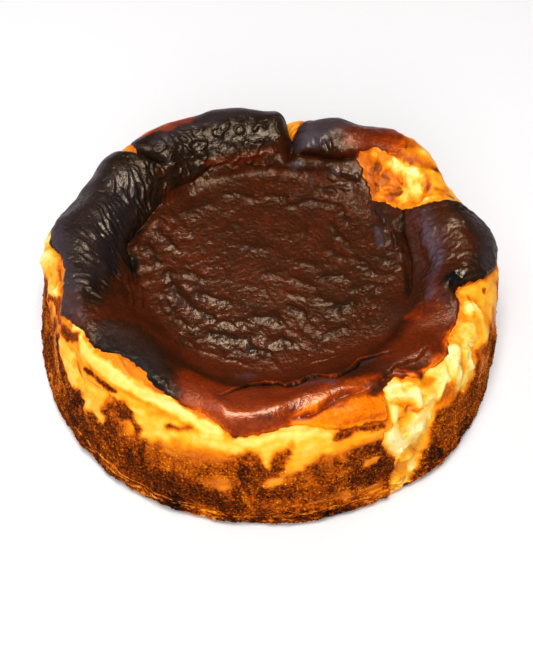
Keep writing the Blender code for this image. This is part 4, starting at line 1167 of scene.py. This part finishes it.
def blisters(azimuth, reach):
    """The soft blisters of the sunken top."""
    height = np.zeros(azimuth.shape)
    x, y = reach * np.cos(np.radians(azimuth)), reach * np.sin(np.radians(azimuth))
    even = np.stack([x, y, 0 * x], -1)
    bend = 0.0018 * lumps(even, 0.0050, SEED + 64)
    for line, width, rise in RIDGES:
        bends, ats = np.radians([place[0] for place in line]), np.array([place[1] for place in line])
        corners = np.stack([ats * np.cos(bends), ats * np.sin(bends)], -1)
        near = (np.abs(x - corners[:, 0].mean()) < 0.022) & (np.abs(y - corners[:, 1].mean()) < 0.022)
        distance = np.full(near.sum(), 1.0)
        for start, end in zip(corners, corners[1:]):
            run = end - start
            away = np.stack([x[near], y[near]], -1) - start
            along = np.clip(away @ run / (run @ run), 0, 1)
            distance = np.minimum(distance, np.hypot(*(away - along[:, None] * run).T))
        distance = np.maximum(distance + bend[near], 0) / width
        height[near] = np.maximum(height[near], rise * np.exp(-distance ** 1.8))
    return height


# Where each kind of the skin's relief lies: from and to, softness; from and to in reach, softness of each
SKIN_PARTS = {
    "left lobe": (138, 203, 8, 0.069, 0.005, 0.104, 0.012),
    "back-left lobe": (87, 140, 5, 0.070, 0.004, 0.102, 0.006),
    "back-right lobe": (48, 85, 6, 0.082, 0.004, 0.130, 0.001),
    "right lobe": (-20, 30, 8, 0.072, 0.005, 0.130, 0.001),
    "front": (200, 345, 10, 0.072, 0.006, 0.130, 0.001),
    "front left": (196, 246, 8, 0.072, 0.006, 0.130, 0.001),
}

# Its soft unevenness: part, height, lump size, seed
SKIN_UNEVENNESS = (
    ("left lobe", 0.00035, 0.0070, 48),
    ("back-left lobe", 0.0007, 0.0062, 54),
    ("back-left lobe", 0.0002, 0.0024, 55),
    ("back-right lobe", 0.0006, 0.0080, 47),
    ("back-right lobe", 0.0002, 0.0034, 45),
    ("right lobe", 0.00030, 0.0024, 56),
    ("right lobe", 0.0005, 0.0100, 46),
    ("right lobe", 0.00008, 0.0052, 57),
    ("front", 0.00016, 0.0052, 57),
    ("front left", 0.0003, 0.0064, 68),
    ("front left", 0.00025, 0.0028, 69),
)
WRINKLE_HEIGHT = 0.0010
WORM_HEIGHT = 0.0009
WORM_END_HEIGHT = 0.0004
GROOVE_HEIGHT = 0.0002
PORE_DEPTH = 0.00035
TOP_UNEVENNESS = 0.00044
TOP_FINE_UNEVENNESS = 0.00020
TOP_RING_HEIGHT = 0.00036
BLISTER_SCALE = 1.3


def skin_part(azimuth, reach, name):
    """One on a part of the skin, and zero outside it."""
    start, end, softness, low, low_softness, high, high_softness = SKIN_PARTS[name]
    inside = smooth((reach - low) / low_softness) * smooth((high - reach) / high_softness)
    return zone(azimuth, start, end, softness) * inside


def skin_detail(azimuth, reach):
    """The blisters, wrinkles and cracks of the skin."""
    even = on_cake(azimuth, reach, np.zeros(azimuth.shape))
    height = 0.00009 * lumps(even, 0.0015, SEED + 58)
    for name, rise, size, seed in SKIN_UNEVENNESS:
        height += skin_part(azimuth, reach, name) * rise * lumps(even, size, SEED + seed)
    # slanted wrinkles of the left lobe, worm-like ones of the back-left lobe, grooves of the right lobe
    bent = azimuth + 3.0 * lumps(even, 0.016, SEED + 50)
    slanted = bent + LOBE_SLANT * (reach - RIM_RADIUS)
    wrinkle = drawn_out(slanted, reach, 0.0024, 0.0075, SEED + 52) + 0.4 * lumps(even, 0.0034, SEED + 53)
    wrinkled = smooth(0.40 + 1.3 * wrinkle) * smooth(0.7 + 1.2 * lumps(even, 0.011, SEED + 49))
    height += WRINKLE_HEIGHT * skin_part(azimuth, reach, "left lobe") * wrinkled
    worms = 1 - smooth(np.abs(lumps(even, 0.0062, SEED + 54) - 0.12) / 0.17)
    finer = zone(azimuth, 112, 140, 8) * lumps(even, 0.0034, SEED + 45)
    worms = WORM_HEIGHT * worms + WORM_END_HEIGHT * finer
    height += skin_part(azimuth, reach, "back-left lobe") * worms
    grooves = drawn_out(azimuth, reach, 0.0030, 0.0090, SEED + 60)
    height += GROOVE_HEIGHT * skin_part(azimuth, reach, "right lobe") * grooves
    # the sunken top: soft blisters over a finer unevenness, calm at the right
    limit = np.interp(azimuth % 360, *np.array(BLISTERED).T) + 0.003 * lumps(even, 0.011, SEED + 66)
    inside = smooth((limit - reach) / 0.005)
    calm = 0.5 + 0.6 * zone(azimuth, 150, 300, 60) * smooth((reach - 0.020) / 0.020)
    rings = drawn_out(azimuth, reach, 0.0120, 0.0056, SEED + 62) * smooth((reach - 0.024) / 0.016)
    uneven = TOP_RING_HEIGHT * rings + TOP_UNEVENNESS * lumps(even, 0.0062, SEED + 61)
    height += inside * calm * (uneven + TOP_FINE_UNEVENNESS * lumps(even, 0.0028, SEED + 67))
    blistered = BLISTER_SCALE * blisters(azimuth, reach) + 0.00016 * lumps(even, 0.0020, SEED + 63)
    height += smooth((limit + 0.004 - reach) / 0.005) * blistered
    # small pores in the thick skin of the lobes
    pores = smooth((lumps(even, 0.0021, SEED + 65) - 0.50) / 0.12) * smooth((reach - 0.09) / 0.01)
    height -= PORE_DEPTH * pores * (zone(azimuth, -20, 30, 8) + zone(azimuth, 138, 202, 8))
    height += lines(azimuth, reach + 0.0015 * lumps(even, 0.0055, SEED + 59), SKIN_CREASES)
    outside, opened = crack_side(azimuth, reach)
    lip = np.where(outside < 0, np.exp(np.minimum(outside, 0) / 0.0030), 0) * CRACK_LIP
    drop = np.exp(-(np.maximum(outside, 0) / 0.0024) ** 2) * CRACK_DROP * smooth(outside / 0.0009)
    return height + opened * (lip - drop)


def skin_lift(azimuth, reach):
    """How far the skin stands above the mean section. It ends in a rolled lip, and dives under there."""
    depth = torn_depth(azimuth, reach)
    thickness = SKIN_LIFT + swells(azimuth, reach, THICK_SKIN) + lines(azimuth, reach, FOLDS)
    lip = np.sqrt(1 - (1 - np.clip(depth / LIP_WIDTH, 0, 1)) ** 2)
    roll = np.sqrt(1 - (1 - np.clip(depth / ROLL_WIDTH, 0, 1)) ** 2)
    height = risen(azimuth, reach, depth) + thickness * (0.5 * lip + 0.5 * roll)
    height += smooth(depth / 0.003) * skin_detail(azimuth, reach)
    return height - 0.0030 * smooth(-depth / 0.0018)


def skin_paints(azimuth, reach):
    """What is painted on the skin: how burnt it is, with painted light and shade at the crack and along
    creases; its ash and painted sheen; and how it shines.
    """
    depth = torn_depth(azimuth, reach)
    even = on_cake(azimuth, reach, np.zeros(azimuth.shape))
    fray = rough(even, SKIN_STROKE_FRAYS, SEED + 71)
    burnt_and_painted_light = BURNT_LEVEL + 0.05 * lumps(even, 0.018, SEED + 73) + 0.05 * lumps(even, 0.004, SEED + 74)
    burnt_and_painted_light += BLISTER_DARKER * blisters(azimuth, reach)
    burnt_and_painted_light = stroked(burnt_and_painted_light, azimuth, reach, BURNING_AND_SHADE, fray)
    ash_and_sheen = stroked(np.zeros(azimuth.shape), azimuth, reach, ASH_AND_SHEEN, fray)
    shining = SHINE_LEVEL + 0.14 * zone(azimuth, 150, 320, 60) * smooth((0.060 - reach) / 0.008)
    duller = smooth((reach - 0.040) / 0.012) * smooth((0.080 - reach) / 0.008)
    shining -= 0.12 * zone(azimuth, 15, 110, 20) * duller
    shining = stroked(shining, azimuth, reach, SHINING, fray)
    # painted light and shadow at the crack: its lip is painted orange as lit and its groove black as shaded,
    # and the groove is dull; the torn edge in front is orange too
    outside, opened = crack_side(azimuth, reach)
    lip = opened * smooth((outside + 0.0014) / 0.0006) * smooth((0.0002 - outside) / 0.0004)
    groove = opened * smooth(outside / 0.0004) * smooth((0.0034 - outside) / 0.0022)
    burnt_and_painted_light = burnt_and_painted_light - PAINTED_LIP_LIGHT * lip * smooth(0.6 + 1.2 * lumps(even, 0.008, SEED + 75))
    burnt_and_painted_light = burnt_and_painted_light + PAINTED_GROOVE_SHADOW * groove
    shining *= 1 - 0.85 * opened * smooth((0.0034 - np.abs(outside)) / 0.0014)
    burnt_and_painted_light -= EDGE_LIGHTER * smooth(1.2 - depth / 0.0016) * zone(azimuth, 246, 346, 6)
    return {"burnt_and_painted_light": np.clip(burnt_and_painted_light, 0, 1), "ash_and_sheen": ash_and_sheen, "shining": shining}


# Its finish: how much each fineness of noise varies how burnt it is and how it shines, each quality on
# dull skin and what shining adds to it, and its fine bumps
BURNT_NOISE = ((0.0014, 0.22), (0.0060, 0.08))
SHINE_NOISE = ((0.0022, 0.70), (0.0090, 0.40))
ASH_AND_SHEEN_COVER = 0.5
SKIN_ROUGHNESS = (0.34, -0.08)
SKIN_SPECULAR = (0.03, 0.42)
SKIN_BUMP_SIZE = 0.0008
SKIN_BUMP_HEIGHT = 0.00026


def varied(tree, name, table):
    """A painted value with noise of these finenesses added."""
    value = attribute(tree, name)
    for size, strength in table:
        value = sums(tree, "MULTIPLY_ADD", noise(tree, size), strength, value)
    return value


def burnt_skin():
    """Dried, charred skin: dark and half glossy, with grey ash and a painted blue-violet sheen on the char.
    """
    material = bpy.data.materials.new("burnt_skin")
    material.use_nodes = True
    tree = material.node_tree
    shader = tree.nodes["Principled BSDF"]
    mix = tree.nodes.new("ShaderNodeMix")
    mix.data_type = "RGBA"
    tree.links.new(sums(tree, "MULTIPLY", attribute(tree, "ash_and_sheen"), ASH_AND_SHEEN_COVER), mix.inputs["Factor"])
    tree.links.new(ramp(tree, varied(tree, "burnt_and_painted_light", BURNT_NOISE), BURNT_COLOURS), mix.inputs[6])
    mix.inputs[7].default_value = linear(ASH_AND_SHEEN_COLOUR)
    tree.links.new(mix.outputs[2], shader.inputs["Base Color"])
    shine = varied(tree, "shining", SHINE_NOISE)
    tree.links.new(graded(tree, shine, SKIN_ROUGHNESS), shader.inputs["Roughness"])
    tree.links.new(graded(tree, shine, SKIN_SPECULAR), shader.inputs["Specular IOR Level"])
    tree.links.new(bumped(tree, noise(tree, SKIN_BUMP_SIZE), SKIN_BUMP_HEIGHT), shader.inputs["Normal"])
    return material


BURNT_SKIN = burnt_skin()
inner_rings = surface_rings(ROUND, SKIN_START, SKIN_MIDDLE, SKIN_STEP)
inner_rings += [(ROUND >> 1, SKIN_MIDDLE, (0.088, CORE_HEIGHT)),
                (ROUND >> 1, SKIN_START, (0.064, CORE_HEIGHT))]
outer_rings = surface_rings(ROUND, SKIN_MIDDLE, SKIN_END, SKIN_STEP)
outer_rings += [(ROUND >> 1, SKIN_END, (0.100, CORE_HEIGHT)),
                (ROUND >> 1, SKIN_MIDDLE, (0.088, CORE_HEIGHT))]
for name, rings in (("inner_rim_skin", inner_rings), ("outer_rim_skin", outer_rings)):
    skin = layer(name, rings, skin_lift, True, skin_paints)
    skin.data.materials.append(BURNT_SKIN)
    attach(skin, "root")
    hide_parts("cheesecake")

# The sunken top. The middle of the skin, which fell as the cake cooled, is blistered all over: in
# rings along its edge and in low pillows across its middle. It is one closed disc of skin.
TOP_STEP = 0.00046
top_rings = [(1, 0.0, None)]
for count, start, end in ((ROUND >> 4, TOP_STEP, 0.0050), (ROUND >> 3, 0.0054, 0.0110),
                          (ROUND >> 2, 0.0114, 0.0220), (ROUND >> 1, 0.0224, 0.0450),
                          (ROUND, 0.0454, SKIN_START)):
    top_rings += surface_rings(count, start, end, TOP_STEP)
top_rings += [(ROUND >> 1, SKIN_START, (0.064, CORE_HEIGHT)), (ROUND >> 2, SKIN_START, (0.040, CORE_HEIGHT)),
              (ROUND >> 3, SKIN_START, (0.020, CORE_HEIGHT)), (1, 0.0, (0.0, CORE_HEIGHT))]
sunken_top = layer("sunken_top", top_rings, skin_lift, False, skin_paints)
sunken_top.data.materials.append(BURNT_SKIN)
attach(sunken_top, "root")
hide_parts("cheesecake")

# The table: a plain pale floor under the cake, which stands on its own foot.
FLOOR_SIZE = 6.0
FLOOR_COLOUR = (0.765, 0.765, 0.785, 1.0)
floor_mesh = bpy.data.meshes.new("floor")
half = FLOOR_SIZE / 2
floor_corners = [(-half, -half, 0), (half, -half, 0), (half, half, 0), (-half, half, 0)]
floor_mesh.from_pydata(floor_corners, [], [(0, 1, 2, 3)])
floor = bpy.data.objects.new("floor", floor_mesh)
bpy.context.scene.collection.objects.link(floor)
pale = bpy.data.materials.new("pale_floor")
pale.use_nodes = True
pale_shader = pale.node_tree.nodes["Principled BSDF"]
pale_shader.inputs["Base Color"].default_value = FLOOR_COLOUR
pale_shader.inputs["Roughness"].default_value = 0.6
pale_shader.inputs["Specular IOR Level"].default_value = 0.2
floor_mesh.materials.append(pale)

# The light: a bright even room. Large soft lights give the pale floor and the cake their even light, and
# others, seen only in reflections, draw the warm gloss on top and a cool sheen from the left.
SOFTBOXES = (
    # name, azimuth, elevation, distance, size, watts, colour, in reflections only
    ("overhead", 262, 80, 1.3, 0.55, 13.0, (1.0, 0.985, 0.97), False),
    ("fill_in_front", 264, 32, 1.6, 1.1, 15.0, (1.0, 0.985, 0.96), False),
    ("fill_right", 48, 26, 1.4, 0.6, 4.5, (1.0, 0.95, 0.90), False),
    ("fill_left", 142, 26, 1.4, 0.8, 6.0, (0.95, 0.97, 1.0), False),
    ("gloss_behind", 112, 50, 1.3, 0.9, 0.6, (1.0, 0.80, 0.62), True),
    ("gloss_on_top", 262, 85, 1.3, 0.70, 44.0, (1.0, 0.82, 0.60), True),
    ("sheen_on_left", 164, 24, 1.4, 0.9, 6.5, (0.78, 0.74, 1.0), True),
)
MIDDLE = Vector((0.0, 0.0, 0.035))
for name, azimuth, elevation, distance, size, watts, colour, in_reflections in SOFTBOXES:
    light = bpy.data.lights.new(name, "AREA")
    light.shape = "SQUARE"
    light.size = size
    light.energy = watts
    light.color = colour
    box = bpy.data.objects.new(name, light)
    around, up = np.radians(azimuth), np.radians(elevation)
    way = Vector((np.cos(around) * np.cos(up), np.sin(around) * np.cos(up), np.sin(up)))
    box.location = MIDDLE + distance * way
    box.rotation_euler = way.to_track_quat("Z", "Y").to_euler()
    box.visible_glossy = in_reflections
    box.visible_diffuse = not in_reflections
    bpy.context.scene.collection.objects.link(box)

# The room round it all, by height from straight below to straight above
ROOM_COLOURS = (
    (0.00, "#FFFFFF"), (0.50, "#F4F7FF"), (0.62, "#A8AEBA"), (0.80, "#4A4B50"), (1.00, "#55534F"),
)
ROOM_STRENGTH = 0.12
world = bpy.data.worlds.new("bright_room")
world.use_nodes = True
room = world.node_tree
way = room.nodes.new("ShaderNodeTexCoord").outputs["Generated"]
up = node(room, "ShaderNodeSeparateXYZ", Vector=way).outputs["Z"]
shade = ramp(room, sums(room, "MULTIPLY_ADD", up, 0.5, 0.5), ROOM_COLOURS)
room.links.new(shade, room.nodes["Background"].inputs["Color"])
room.nodes["Background"].inputs["Strength"].default_value = ROOM_STRENGTH
bpy.context.scene.world = world
bpy.context.scene.view_settings.view_transform = "Standard"
bpy.context.scene.view_settings.look = "Medium High Contrast"

# The camera stands in front and looks down on the cake at about 52 degrees.
CAMERA_PLACE = (0.00004, -0.3904, 0.4927)
CAMERA_TILT = 38.18
CAMERA_ROLL = 2.39
LENS = 64.9
camera = bpy.data.cameras.new("camera")
camera.lens = LENS
camera.sensor_width = 36.0
view = bpy.data.objects.new("camera", camera)
view.matrix_world = (Matrix.Translation(CAMERA_PLACE) @ Matrix.Rotation(np.radians(CAMERA_TILT), 4, "X")
                     @ Matrix.Rotation(np.radians(CAMERA_ROLL), 4, "Z"))
bpy.context.scene.collection.objects.link(view)
bpy.context.scene.camera = view
